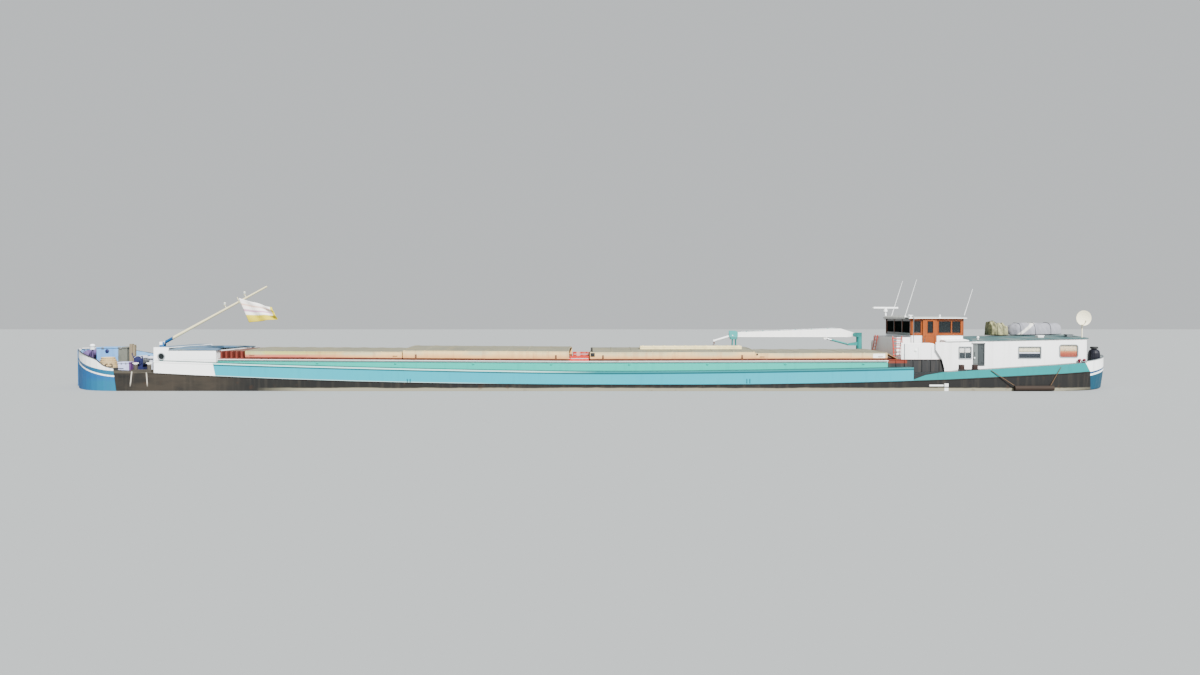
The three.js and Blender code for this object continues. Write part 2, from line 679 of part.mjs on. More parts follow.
function craneBoom() {
  const { y, pivotX, pivotZ, eyeX, eyeZ, headX, jibX, jibZ } = CRANE;
  const side = [
    [pivotX - 34, pivotZ - 36], [pivotX - 34, pivotZ + 36], [-6420, 2475], [headX, 2378], [headX, BOOM_LOW],
    [-6600, BOOM_LOW],
  ];
  const cheek = place => sideProfile(
    [[headX - 60, BOOM_LOW], [headX - 60, 2400], [headX, 2420], [jibX + 90, 2420], [jibX + 90, BOOM_LOW]],
    y + place - 7, y + place + 7);
  const eyeLug = place => sideProfile(
    [[eyeX - 60, BOOM_LOW + 10], [eyeX - 26, eyeZ - 26], [eyeX + 26, eyeZ - 26], [eyeX + 60, BOOM_LOW + 10]],
    y + place - 6, y + place + 6);
  return cut(joined(
    cut(sideProfile(side, y - 48, y + 48), box(headX - 44, headX + 1, y - 34, y + 34, 2200, 2400)),
    bar([pivotX, y - 68, pivotZ], [pivotX, y + 68, pivotZ], 16, 16, 16),
    cheek(-41), cheek(41), eyeLug(-32), eyeLug(32),
  ),
  bar([eyeX, y - 60, eyeZ], [eyeX, y + 60, eyeZ], 11.6, 11.6, 16),
  bar([jibX, y - 60, jibZ], [jibX, y + 60, jibZ], 14.6, 14.6, 16));
}

// The short jib hangs forward and down from the boom's head.
function craneJib() {
  const { y, jibX, jibZ, jibTipX, jibTipZ } = CRANE;
  return joined(
    bar([jibX, y, jibZ], [jibTipX, y, jibTipZ], 31, 24, 14),
    bar([jibX, y - 46, jibZ], [jibX, y + 46, jibZ], 14, 14, 16),
    bar([jibTipX + 4, y - 20, jibTipZ + 6], [jibTipX + 4, y + 20, jibTipZ + 6], 27, 27, 14),
  );
}

function alongCylinder(distance) {
  const { y, eyeX, eyeZ, footX, footZ } = CRANE;
  const way = new THREE.Vector2(eyeX - footX, eyeZ - footZ).normalize();
  return [footX + way.x * distance, y, footZ + way.y * distance];
}

const CYLINDER = { barrel: 480, bore: 17, rodTo: 626 };

function craneCylinder() {
  const { y, footX, footZ } = CRANE;
  return cut(joined(
    bar(alongCylinder(-14), alongCylinder(CYLINDER.barrel), 26, 26, 16),
    bar([footX, y - 49, footZ], [footX, y + 49, footZ], 12, 12, 16),
  ), bar(alongCylinder(70), alongCylinder(CYLINDER.barrel + 20), CYLINDER.bore, CYLINDER.bore, 16));
}

function craneRod() {
  const { y, eyeX, eyeZ } = CRANE;
  return joined(
    bar(alongCylinder(90), alongCylinder(CYLINDER.rodTo), 16, 16, 16),
    bar([eyeX, y - 20, eyeZ], [eyeX, y + 20, eyeZ], 22, 22, 16),
  );
}

// A two-legged trestle under the boom's fore end
function boomRest() {
  const { y } = CRANE;
  const x = -3680;
  return cut(joined(
    box(x - 80, x + 100, y - 75, y + 75, BOOM_LOW - CLEAR - 52, BOOM_LOW - CLEAR),
    ...[[-1, -1], [1, 1], [1, -1], [-1, 1]].map(([side, end]) =>
      bar([x + side * 60, y + end * 50, 1500], [x + side * 40, y + end * 50, 2220], 13)),
    box(x - 90, x + 90, y - 80, y + 80, 1500, 1560),
  ), gangwayCutter);
}

// Aft: casing, wheelhouse and cabin

function engineCasing() {
  const { fore, aft, half, top, wall } = CASING;
  return cut(
    box(aft, fore, -half, half, 1300, top),
    box(aft + wall, fore - wall, -half + wall, half - wall, 1200, top - 15),
    gangwayCutter, aftDeckCutter);
}

function engine() {
  return joined(
    box(-8000, -7300, -230, 230, ENGINE_ROOM.floor + SEAT, 640),
    box(-7900, -7400, -120, 120, 630, 760),
  );
}

// White screen along the edge of the casing, its top swept down aft
const SCREEN = { fore: -7170, aft: -8120, high: 2170, sweep: 330, drop: 234 };

function screen() {
  const { fore, aft, high, sweep, drop } = SCREEN;
  const low = CASING.top + SEAT;
  const points = [[aft, low], [fore, low], [fore, high], [aft + sweep, high]];
  for (let i = 1; i <= 5; i++) {
    const turn = (i / 5) * (Math.PI / 2);
    points.push([aft + sweep - sweep * Math.sin(turn), high - drop * (1 - Math.cos(turn))]);
  }
  return sideProfile(points, 1284, 1298);
}

// Red ladder up to the ledge round the wheelhouse: each stile from its foot to its top, as [x, y] points
const LADDERS = {
  ladder_port: { feet: [[-7050, 1130], [-7262, 1130]], tops: [[-7050, 1020], [-7262, 1020]] },
  ladder_starboard: { feet: [[-7030, -730], [-7030, -500]], tops: [[-7126, -730], [-7126, -500]] },
};
const LADDER = { top: 2330, stile: 13, rung: 9, rungs: 6 };

function ladder({ feet, tops }) {
  const low = CASING.top + SEAT;
  const place = (i, share) => {
    const at = [0, 1].map(axis => THREE.MathUtils.lerp(feet[i][axis], tops[i][axis], share));
    return [...at, THREE.MathUtils.lerp(low, LADDER.top, share)];
  };
  const pieces = [0, 1].map(i => bar(place(i, -0.04), place(i, 1), LADDER.stile, LADDER.stile, 8));
  for (let i = 1; i <= LADDER.rungs; i++) {
    const share = i / (LADDER.rungs + 0.6);
    pieces.push(bar(place(0, share), place(1, share), LADDER.rung, LADDER.rung, 8));
  }
  return cut(joined(...pieces), box(-7400, -6800, -1200, 1200, 1600, low));
}

const DOOR = { fore: -7760, aft: -8065, low: 1832, high: 2700, travel: 310 };

// cabin roof with its camber, also used to cut the wheelhouse's foot
function cabinRoofBody(rise = 0, depth = 0) {
  const { fore, aft, half } = CABIN;
  const loops = [[aft - 30], [fore]].map(([x]) => {
    const low = cabinRoofLow(x);
    return [
      ...arc(half + 20, low + 20, low + 72).map(([y, z]) => new THREE.Vector3(x, y, z + rise)),
      new THREE.Vector3(x, half + 20, low - depth),
      new THREE.Vector3(x, -half - 20, low - depth),
    ];
  });
  return loft(loops);
}

function wheelhouseBase() {
  const { fore, aft, half, ledge, top, wall } = BASE;
  const front = WHEELHOUSE.fore;
  const casingTop = CASING.top + SEAT;
  const profile = [
    [CABIN.fore + 8, casingTop], [fore, casingTop], [fore, ledge], [front + 6, ledge], [front + 6, top],
    [aft, top], [aft, 2200], [CABIN.fore + 8, 2200],
  ];
  const low = box(CABIN.fore + 8 + wall, fore - wall, -half + wall, half - wall, 1700, ledge - 15);
  const high = box(aft + wall, front - wall, -half + wall, half - wall, 2235, 2500);
  const door = box(DOOR.aft, DOOR.fore, -half - 10, half + 10, DOOR.low, 2500);
  return cut(
    joined(cut(sideProfile(profile, -half, half), low, high, door), ...doorRails(1818, DOOR.low - SEAT)),
    cabinRoofBody(SEAT, 400));
}

// The rails below and above the two sliding doors
function doorRails(low, high) {
  const [inner, outer] = [WHEELHOUSE.half - 5, WHEELHOUSE.half + 42];
  const [fore, aft] = [DOOR.fore + DOOR.travel + 20, DOOR.aft - 10];
  return [box(aft, fore, inner, outer, low, high), box(aft, fore, -outer, -inner, low, high)];
}

// Windows of the wheelhouse: x from, x to on the sides; y from, y to at the front and back
const SIDE_WINDOWS = [[-7715, -7540], [-8415, -8125], [-8640, -8435]];
const END_WINDOWS = [[-930, -345], [-305, 305], [345, 930]];
const WINDOW = { low: 2405, high: 2685 };

function wheelhouseWalls() {
  const { fore, aft, half, top, wall } = WHEELHOUSE;
  const shell = cut(
    box(aft, fore, -half, half, BASE.top + SEAT, top),
    box(aft + wall, fore - wall, -half + wall, half - wall, 2300, top + 10));
  const cutters = [
    ...SIDE_WINDOWS.map(([x0, x1]) => box(x0, x1, -half - 10, half + 10, WINDOW.low, WINDOW.high)),
    ...END_WINDOWS.map(([y0, y1]) => box(aft - 10, fore + 10, y0, y1, WINDOW.low, WINDOW.high)),
    box(DOOR.aft, DOOR.fore, -half - 10, half + 10, 2300, DOOR.high),
  ];
  return joined(cut(shell, ...cutters), ...doorRails(2716, 2730));
}

// The wheelhouse roof down to a given level, also used to cut what stands on it
function wheelhouseRoofBody(low) {
  const { fore, aft, half, top } = WHEELHOUSE;
  const section = [...arc(half + 60, top + 14, top + 50), [half + 60, low], [-half - 60, low]];
  return crossSection(section, aft - 60, fore + 60);
}

function wheelhouseRoof() {
  const { aft, top } = WHEELHOUSE;
  return joined(wheelhouseRoofBody(top + SEAT), whip(aft - 30, 940, top + 10, 0.78));
}

// Outside sliding door with its window cut
function wheelhouseDoor() {
  const y = WHEELHOUSE.half;
  return cut(
    box(DOOR.aft - 12, DOOR.fore + 12, y + CLEAR, y + CLEAR + 24, DOOR.low, 2710),
    box(-7990, -7855, y, y + 60, WINDOW.low, WINDOW.high));
}

// Steering stand with its wheel, seen through the wheelhouse windows
function helm() {
  const x = -7760;
  const rim = new THREE.TorusGeometry(190, 13, 6, 16).rotateY(Math.PI / 2).translate(x, 0, 2330);
  const spokes = [0, 1, 2].map(i => {
    const angle = (i * Math.PI) / 3;
    const [y, z] = [188 * Math.cos(angle), 188 * Math.sin(angle)];
    return bar([x, -y, 2330 - z], [x, y, 2330 + z], 9, 9, 6);
  });
  return joined(
    box(-7700, -7520, -330, 330, CASING.top + SEAT, 2290),
    sideProfile([[-7700, 2280], [-7520, 2280], [-7520, 2400], [-7640, 2400]], -330, 330),
    bar([-7600, 0, 2330], [x - 30, 0, 2330], 20), rim, ...spokes);
}

// Radar post on the roof's front corner, with two whip aerials on the same roof bar
const RADAR = { x: -7420, y: -900, z: 2990 };
const WHIP = { root: 7, tip: 4, rake: 270, rise: 870 };

function whip(x, y, z, share = 1) {
  const tip = [x - WHIP.rake * share, y, z + WHIP.rise * share];
  return bar([x, y, z], tip, WHIP.root, WHIP.tip, 8);
}

function radarMast() {
  const roofTop = WHEELHOUSE.top + 50;
  const roofBar = box(-7450, -7414, -930, 730, roofTop - 60, roofTop + 16);
  return cut(joined(
    roofBar,
    bar([-7432, RADAR.y, roofTop], [RADAR.x, RADAR.y, RADAR.z - 60], 22, 22, 12),
    bar([RADAR.x, RADAR.y, RADAR.z - 80], [RADAR.x, RADAR.y, RADAR.z - 30 - SEAT], 52, 52, 16),
    whip(-7432, -400, roofTop), whip(-7432, 700, roofTop),
  ), wheelhouseRoofBody(WHEELHOUSE.top - 100).translate(0, 0, SEAT));
}

function radarScanner() {
  const angle = THREE.MathUtils.degToRad(33);
  const beam = new THREE.BoxGeometry(900, 52, 38).rotateZ(angle).translate(RADAR.x, RADAR.y, RADAR.z + 19);
  return joined(beam, bar([RADAR.x, RADAR.y, RADAR.z - 30], [RADAR.x, RADAR.y, RADAR.z + 10], 40, 40, 16));
}

// Windows of the cabin's sides: x from, x to, z from, z to
const CABIN_WINDOWS = [[-8765, -8485, 1822, 2091], [-10365, -9855, 1829, 2091], [-11215, -10800, 1852, 2137]];
const CABIN_DOOR = { fore: -8800, aft: -9075, low: 1650, high: 2170, hingeOut: 8.6, hoodUp: 16 };

function aftCabin() {
  const { fore, aft, half, wall, wing } = CABIN;
  const top = x => cabinRoofLow(x) - SEAT;
  const profile = [
    [aft, 1400], [-8155, 1400], [-8150, 1600], [-8095, 1800], [wing, 2030], [wing, 2200], [fore, 2200],
    [fore, top(fore)], [aft, top(aft)],
  ];
  const inside = box(aft + wall, fore - wall, -half + wall, half - wall, 1200, 2500);
  const between = box(fore, wing + 50, -half + wall, half - wall, 1200, 2500);
  const windows = CABIN_WINDOWS.map(([x0, x1, z0, z1]) => box(x0, x1, -half - 10, half + 10, z0, z1));
  const aftWindows = [-600, 600].map(y => box(aft - 10, aft + wall + 10, y - 260, y + 260, 1890, 2140));
  const { fore: doorFore, aft: doorAft, low, high } = CABIN_DOOR;
  const doorway = box(doorAft, doorFore, half - wall - 10, half + 10, low, high);
  const hood = box(doorAft - 20, doorFore + 20, half - 5, half + 36, high + CABIN_DOOR.hoodUp, high + 34);
  return cut(
    joined(cut(sideProfile(profile, -half, half), inside, between, ...windows, ...aftWindows, doorway), hood),
    aftDeckCutter);
}

function cabinDoor() {
  const { fore, aft, low, high } = CABIN_DOOR;
  const y = CABIN.half;
  const strap = z => box(aft + CLEAR, aft + CLEAR + 70, y - 2, y + 6, z, z + 30);
  const hinge = [aft + CLEAR + 4, y + CABIN_DOOR.hingeOut];
  return joined(
    box(aft + CLEAR, fore - CLEAR, y - 22, y, low + CLEAR, high - CLEAR),
    bar([...hinge, low + 60], [...hinge, high + CABIN_DOOR.hoodUp - SEAT], 8, 8, 12),
    strap(low + 80), strap(high - 110),
    box(fore - 60, fore - 44, y - 2, y + 16, 1900, 1980),
  );
}

// Covered dinghy: sections along its length as [x, half width, low, crown]
const DINGHY_SECTIONS = [
  [-9985, 90, 60, 130], [-10060, 190, 20, 220], [-10220, 290, 0, 300], [-10420, 325, 0, 322],
  [-10900, 325, 0, 305], [-11240, 305, 0, 300], [-11315, 285, 10, 285],
];

// Olive bundle under canvas
const BUNDLE_SECTIONS = [
  [-9540, 130, 20, 250], [-9585, 230, 0, 365], [-9680, 280, 0, 360], [-9810, 290, 0, 320],
  [-9910, 270, 0, 310], [-9970, 200, 10, 270],
];

// A crowned heap lofted from its sections, cut to sit on the cabin roof
function roofHeap(sections) {
  const loops = sections.map(([x, half, low, crown]) => {
    const floor = cabinRoofLow(x) + 55;
    const loop = [0.85, -0.85].map(side => new THREE.Vector3(x, half * side, floor + low - 60));
    for (let i = 0; i <= 8; i++) {
      const turn = Math.PI * (i / 8);
      const y = -half * Math.sign(Math.cos(turn)) * Math.abs(Math.cos(turn)) ** 0.6;
      loop.push(new THREE.Vector3(x, y, floor + low + (crown - low) * (0.15 + 0.85 * Math.sin(turn) ** 0.6)));
    }
    return loop;
  });
  return cut(loft(loops), cabinRoofBody(SEAT, 600));
}

function cabinRoof() {
  return cabinRoofBody();
}

// Satellite dish on its pole at the port aft corner of the roof, facing port
function satelliteDish() {
  const [x, y, z] = [-11386, 1225, 2758];
  const dish = new THREE.LatheGeometry(
    [[0, 0], [60, 4], [120, 16], [175, 36], [175, 46], [118, 26], [60, 14], [0, 10]]
      .map(([r, h]) => new THREE.Vector2(r, h)), 24).translate(x, y, z);
  return cut(joined(
    dish,
    bar([x, y - 40, 2200], [x, y - 40, z + 10], 14, 14, 12),
    bar([x, y - 42, z], [x, y + 8, z], 22, 22, 12),
    bar([x, y + 20, z - 170], [x, y + 170, z - 70], 8, 8, 8),
    bar([x, y + 130, z - 72], [x, y + 185, z - 72], 18, 18, 12),
  ), cabinRoofBody(SEAT, 400));
}

// Round body with a dark mushroom cap
function sternCapstan() {
  const profile = [
    [0, 0], [124, 0], [132, 25], [135, 140], [131, 235], [118, 285], [92, 312], [62, 322], [62, 336],
    [92, 342], [92, 374], [78, 386], [0, 388],
  ];
  return onAftDeck(turned(profile, -11950, 620, 1690, 20));
}

// Timber fender hung outside the port quarter on two ropes
function timberFender() {
  const y = HALF_BEAM + SEAT + 61;
  return cut(joined(
    bar([-9620, y, 1165], [-10505, y, 1165], 60, 60, 14),
    bar([-9690, y, 1180], [-9100, HALF_BEAM + 8, 1568], 8, 8, 8),
    bar([-10410, y, 1180], [-10690, HALF_BEAM + 8, 1640], 8, 8, 8),
  ), box(-11000, -9000, 1000, HALF_BEAM + SEAT, 900, 2000));
}

// Below water

function propeller() {
  const { x, z, radius } = PROPELLER;
  const blade = turn => extruded([[-34, 30], [-78, 140], [-62, 235], [0, radius], [62, 235], [78, 140], [34, 30]], 14)
    .translate(0, 0, -7).rotateY(THREE.MathUtils.degToRad(62)).rotateX(Math.PI / 2).rotateX(turn).translate(x, 0, z);
  return joined(
    turned([[0, -75], [38, -60], [50, 0], [46, 60], [0, 62]], 0, 0, 0).rotateY(Math.PI / 2).translate(x, 0, z),
    bar([x + 40, 0, z], [-10920, 0, z], 26, 26, 16),
    ...[0, 1, 2, 3].map(i => blade((i * Math.PI) / 2)),
  );
}

function rudder() {
  const { x, fore, aft, low, high } = RUDDER;
  const port = [[fore, 0], [fore - 60, 22], [x, 34], [-11900, 20], [aft, 5]];
  const plan = [...port, ...port.slice(1).reverse().map(([px, py]) => [px, -py])];
  return joined(
    planShape(plan, low, high),
    bar([x, 0, high - 40], [x, 0, 1140], 30, 30, 16),
    bar([x, 0, 24], [x, 0, 80], 16, 16, 16),
  );
}

add('hull', hull(), 'black');
add('side_decks', sideDecks(), 'turquoise');
add('coaming', coaming(), 'turquoise');
add('aft_deck', aftDeckBody(), 'turquoise');
add('bow_bulwark', bowBulwark(), 'white');
add('stern_rail', sternRail(), 'white');
add('stem_bar', box(STEM - 20 + SEAT, STEM, -18, 18, 700, 1990), 'blue');

add('fore_house', foreHouse(), 'white');
add('fore_house_roof', foreHouseRoof(), 'tealGrey');
add('hatch_beams', hatchBeams(), 'redOxide');
add('mast_tabernacle', mastTabernacle(), 'blue');
add('foremast', foremast(), 'cream');
add('flag', flag(), 'white');
add('windlass', windlass(), 'navy');
add('bow_lamp_stand', bowLampStand(), 'white');
for (const row of DECK_BOXES) {
  add(row[0], deckBox(row), row.at(-1));
}
add('rope_coil', ropeCoil(), 'tan');
add('timber_posts', timberPosts(), 'timber');
add('fore_winch', foreWinch(), 'navy');
add('bollards_fore_port', foreBollards(), 'white');
add('bollards_fore_starboard', mirrored(foreBollards()), 'white');

for (const [name, cover] of Object.entries(HATCHES)) {
  add(name, hatchCover(cover), 'grey');
}
add('gangplank', gangplank(), 'cream');

add('crane_pedestal', cranePedestal(), 'teal');
add('crane_column', craneColumn(), 'teal');
add('crane_boom', craneBoom(), 'white');
add('crane_jib', craneJib(), 'white');
add('crane_cylinder', craneCylinder(), 'teal');
add('crane_rod', craneRod(), 'steel');
add('boom_rest', boomRest(), 'teal');

add('engine_casing', engineCasing(), 'darkGrey');
add('engine', engine(), 'steel');
add('screen_port', screen(), 'white');
add('screen_starboard', mirrored(screen()), 'white');
for (const [name, sides] of Object.entries(LADDERS)) {
  add(name, ladder(sides), 'redOxide');
}
add('wheelhouse_base', wheelhouseBase(), 'white');
add('wheelhouse_walls', wheelhouseWalls(), 'wood');
add('wheelhouse_roof', wheelhouseRoof(), 'grey');
add('wheelhouse_door_port', wheelhouseDoor(), 'wood');
add('wheelhouse_door_starboard', mirrored(wheelhouseDoor()), 'wood');
add('helm', helm(), 'wood');
add('radar_mast', radarMast(), 'white');
add('radar_scanner', radarScanner(), 'white');

add('aft_cabin', aftCabin(), 'white');
add('cabin_roof', cabinRoof(), 'tealGrey');
add('cabin_door', cabinDoor(), 'grey');
add('dinghy', roofHeap(DINGHY_SECTIONS), 'canvas');
add('roof_bundle', roofHeap(BUNDLE_SECTIONS), 'olive');
add('satellite_dish', satelliteDish(), 'cream');
add('stern_capstan', sternCapstan(), 'navy');
add('bollards_aft_port', aftBollards(), 'black');
add('bollards_aft_starboard', mirrored(aftBollards()), 'black');
add('timber_fender', timberFender(), 'timber');

add('propeller', propeller(), 'bronze');
add('rudder', rudder(), 'redOxide');

export default barge;
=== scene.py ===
# Looks of the half-scale river barge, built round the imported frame. Metres, +X to the bow, +Y to port.
import math
import bpy
import numpy as np
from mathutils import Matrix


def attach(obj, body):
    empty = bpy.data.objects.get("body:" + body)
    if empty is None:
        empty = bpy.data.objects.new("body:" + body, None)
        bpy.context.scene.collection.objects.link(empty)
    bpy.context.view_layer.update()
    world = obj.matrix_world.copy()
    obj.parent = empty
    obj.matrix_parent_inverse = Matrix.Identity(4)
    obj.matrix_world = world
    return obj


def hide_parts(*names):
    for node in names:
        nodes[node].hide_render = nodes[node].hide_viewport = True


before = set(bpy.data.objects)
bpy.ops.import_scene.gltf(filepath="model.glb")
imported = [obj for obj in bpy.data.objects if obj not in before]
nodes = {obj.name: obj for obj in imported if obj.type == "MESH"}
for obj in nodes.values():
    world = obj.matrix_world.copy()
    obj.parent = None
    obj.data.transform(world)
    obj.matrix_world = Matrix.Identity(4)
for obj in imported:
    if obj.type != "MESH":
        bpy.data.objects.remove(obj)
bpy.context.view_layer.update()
waterline = 1.1
sides = {1: "port", -1: "starboard"}
print("frame loaded:", len(nodes), "nodes")

# Surfaces: each is (points, quads, caps) and one piece joins several


def line(x, y, z):
    # coordinates, each a number or an array, put together as points
    return np.stack(np.broadcast_arrays(x, y, z), axis=-1).astype(float)


def unit(vectors):
    # each vector divided by its length
    return vectors / np.linalg.norm(vectors, axis=-1, keepdims=True)


def ringSurface(rings, loop=False):
    # rows of closed rings joined in turn: point (i, j) meets (i + 1, j) and (i, j + 1), and end rings are
    # capped; the signed volume of all corners about the middle tells whether the faces look outward
    rows, count = rings.shape[:2]
    points = rings.reshape(-1, 3)
    row = np.arange(rows if loop else rows - 1)[:, None]
    col = np.arange(count)[None, :]
    after, beside = (row + 1) % rows, (col + 1) % count
    spots = [row * count + col, row * count + beside, after * count + beside, after * count + col]
    quads = np.stack([spot.ravel() for spot in spots], axis=1)
    caps = [] if loop else [np.arange(count)[::-1], np.arange(count) + (rows - 1) * count]
    fans = [np.stack([np.full(count - 2, cap[0]), cap[1:-1], cap[2:]], axis=1) for cap in caps]
    corners = np.concatenate([quads[:, [0, 1, 2]], quads[:, [0, 2, 3]], *fans])
    a, b, c = np.moveaxis((points - points.mean(axis=0))[corners], 1, 0)
    if np.einsum("ij,ij->i", a, np.cross(b, c)).sum() < 0:
        return points, quads[:, ::-1], [cap[::-1] for cap in caps]
    return points, quads, caps


def sheetSurface(grid):
    # an open sheet: point (i, j) of the grid meets (i + 1, j) and (i, j + 1)
    rows, count = grid.shape[:2]
    i, j = np.meshgrid(np.arange(rows - 1), np.arange(count - 1), indexing="ij")
    a = (i * count + j).ravel()
    return grid.reshape(-1, 3), np.stack([a, a + 1, a + count + 1, a + count], axis=1), []


def roundBox(low, high, radius=0.004, steps=2):
    # a ball's grid with its eight parts moved out to the corners of a box
    low, high = np.minimum(low, high), np.maximum(low, high)
    centre, half = (low + high) / 2, (high - low) / 2
    r = min(radius, half.min() * 0.98)
    quarter = np.linspace(0, math.pi / 2, steps + 1)
    around = np.concatenate([quarter + k * math.pi / 2 for k in range(4)])
    up = np.concatenate([quarter - math.pi / 2, quarter])[:, None]
    normal = line(np.cos(up) * np.cos(around), np.cos(up) * np.sin(around), np.sin(up))
    east, north, above = [np.repeat(way, steps + 1) for way in ([1, -1, -1, 1], [1, 1, -1, -1], [-1, 1])]
    return ringSurface(centre + line(east, north, above[:, None]) * (half - r) + r * normal)


def oval(wide, high, count):
    # points evenly round an ellipse
    angle = np.arange(count) * 2 * math.pi / count
    return np.stack([wide * np.cos(angle), high * np.sin(angle)], axis=1)


def capping(radius):
    # a low oval bar
    return oval(radius * 1.3, radius * 0.8, 14)


def halfRound(wide, high):
    # the upper half of an ellipse
    angle = np.linspace(0, math.pi, 7)
    return np.stack([wide * np.cos(angle), high * np.sin(angle)], axis=1)


def carried(profile, path, upright=(0, 0, 1), loop=False, scale=None):
    # each path point carries the profile: side across the path, up along the upright, mitred at corners
    path, profile = np.asarray(path, float), np.asarray(profile, float)
    ahead = np.roll(path, -1, axis=0) - path
    if not loop:
        ahead[-1] = ahead[-2]
    ahead = unit(ahead)
    behind = np.roll(ahead, 1, axis=0)
    if not loop:
        behind[0] = ahead[0]
    before, after = unit(np.cross(behind, upright)), unit(np.cross(ahead, upright))
    side = (before + after) / (1 + (before * after).sum(axis=1, keepdims=True))
    lift = unit(np.cross(side, behind + ahead))
    grow = np.ones(len(path)) if scale is None else np.asarray(scale, float)
    spread = profile[None] * grow[:, None, None]
    across, up = side[:, None] * spread[..., :1], lift[:, None] * spread[..., 1:]
    return ringSurface(path[:, None] + across + up, loop)


def rod(points, radius, count=10, scale=None):
    # a circle carried along the points, held upright by the axis that the rod crosses most
    points = np.asarray(points, float)
    upright = np.eye(3)[int(np.argmin(np.abs(points[-1] - points[0])))]
    return carried(oval(radius, radius, count), points, upright, scale=scale)


def turned(profile, centre, axis=2, count=18, way=1, loop=False):
    # a profile of (radius, height) turned round an axis through the centre, its heights along the way
    radius, height = np.asarray(profile, float).T[:, :, None]
    angle = np.arange(count) * 2 * math.pi / count
    flat = line(radius * np.cos(angle), radius * np.sin(angle), height * way)
    return ringSurface(np.asarray(centre) + np.roll(flat, axis - 2, axis=2), loop)


def onWall(axis, place, a, b):
    # the points (a, b) of an upright wall: across x at axis 0 and across y at axis 1
    return line(place, a, b) if axis == 0 else line(a, place, b)


def pane(axis, place, a0, a1, b0, b1):
    # a thin box that stands in the wall
    low, high = onWall(axis, place - 0.003, a0, b0), onWall(axis, place + 0.003, a1, b1)
    return roundBox(low, high, 0.002, 1)


def frameRound(axis, place, way, a0, a1, b0, b1, width, depth, radius=0.012):
    # a strip with bevelled outer edges, carried round a rounded opening, its flat back on the wall
    w, d, inset = width / 2, depth, radius - width * 0.2
    strip = [(-w, 0), (w, 0), (w, d * 0.6), (w * 0.6, d), (-w * 0.6, d), (-w, d * 0.6)]
    turn = np.linspace(0, math.pi / 2, 5)
    loop = []
    for k, (a, b) in enumerate([(a1 - inset, b1 - inset), (a0 + inset, b1 - inset),
                                (a0 + inset, b0 + inset), (a1 - inset, b0 + inset)]):
        angle = turn + k * math.pi / 2
        loop.append(onWall(axis, place, a + radius * np.cos(angle), b + radius * np.sin(angle)))
    return carried(strip, np.concatenate(loop), (way, 0, 0) if axis == 0 else (0, way, 0), loop=True)


def piece(name, surfaces, paint, body="root"):
    # one mesh from all surfaces
    faces = []
    start = 0
    for spots, quads, caps in surfaces:
        faces += (quads + start).tolist()
        faces += [(cap + start).tolist() for cap in caps]
        start += len(spots)
    mesh = bpy.data.meshes.new(name)
    mesh.from_pydata(np.concatenate([surface[0] for surface in surfaces]).tolist(), [], faces)
    mesh.update()
    mesh.shade_smooth()
    mesh.set_sharp_from_angle(angle=math.radians(38))
    made = bpy.data.objects.new(name, mesh)
    bpy.context.scene.collection.objects.link(made)
    mesh.materials.append(paints[paint] if isinstance(paint, str) else paint)
    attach(made, body)
    return made


def sheetPiece(name, grid, paint, thick, body="root", cut=None):
    # the grid as an open sheet with a little thickness, and its cut, where it has one, as its UV map
    made = piece(name, [sheetSurface(grid)], paint, body)
    if cut is not None:
        layer = made.data.uv_layers.new(name="cut")
        corner = np.empty(len(made.data.loops), int)
        made.data.loops.foreach_get("vertex_index", corner)
        layer.data.foreach_set("uv", cut.reshape(-1, 2)[corner].ravel())
    solid = made.modifiers.new("thickness", "SOLIDIFY")
    solid.thickness = thick
    solid.offset = 0
    return made


# Paints


def tint(code):
    # a screen colour as the linear one that shaders take
    parts = [int(code[i:i + 2], 16) / 255 for i in (1, 3, 5)]
    return tuple(v / 12.92 if v < 0.04045 else ((v + 0.055) / 1.055) ** 2.4 for v in parts) + (1.0,)


class Flow:
    # one socket; sums and comparisons on it become Math nodes
    def __init__(self, paint, socket):
        self.paint = paint
        self.socket = socket

    def above(self, edge, soft=0.004):
        # 0 below the edge and 1 above it, over a short ramp
        ramp = (self - edge) * (1 / soft) + 0.5
        return self.paint.flow(self.paint.node("ShaderNodeClamp", {}, {"Value": ramp}))

    def below(self, edge, soft=0.004):
        # 1 below the edge and 0 above it
        return 1 - self.above(edge, soft)

    def within(self, low, high, soft=0.004):
        # 1 between two edges
        return self.above(low, soft) * self.below(high, soft)

    def repeat(self, step):
        # distance from the nearest multiple of the step, in steps: 0 on it and 0.5 midway
        return 0.5 - abs((self / step).fract() - 0.5)


def mathsMethod(name, operation):
    # one operator as a Math node; a reflected one takes its values the other way round
    def act(self, *others):
        values = (*others, self) if name.startswith("__r") else (self, *others)
        made = self.paint.node("ShaderNodeMath", {"operation": operation}, dict(enumerate(values)))
        return self.paint.flow(made)
    return act


for name, operation in {
        "__add__": "ADD", "__radd__": "ADD", "__sub__": "SUBTRACT", "__rsub__": "SUBTRACT",
        "__mul__": "MULTIPLY", "__rmul__": "MULTIPLY", "__truediv__": "DIVIDE", "__pow__": "POWER",
        "__abs__": "ABSOLUTE", "most": "MAXIMUM", "least": "MINIMUM",
        "fract": "FRACT", "sine": "SINE"}.items():
    setattr(Flow, name, mathsMethod(name, operation))


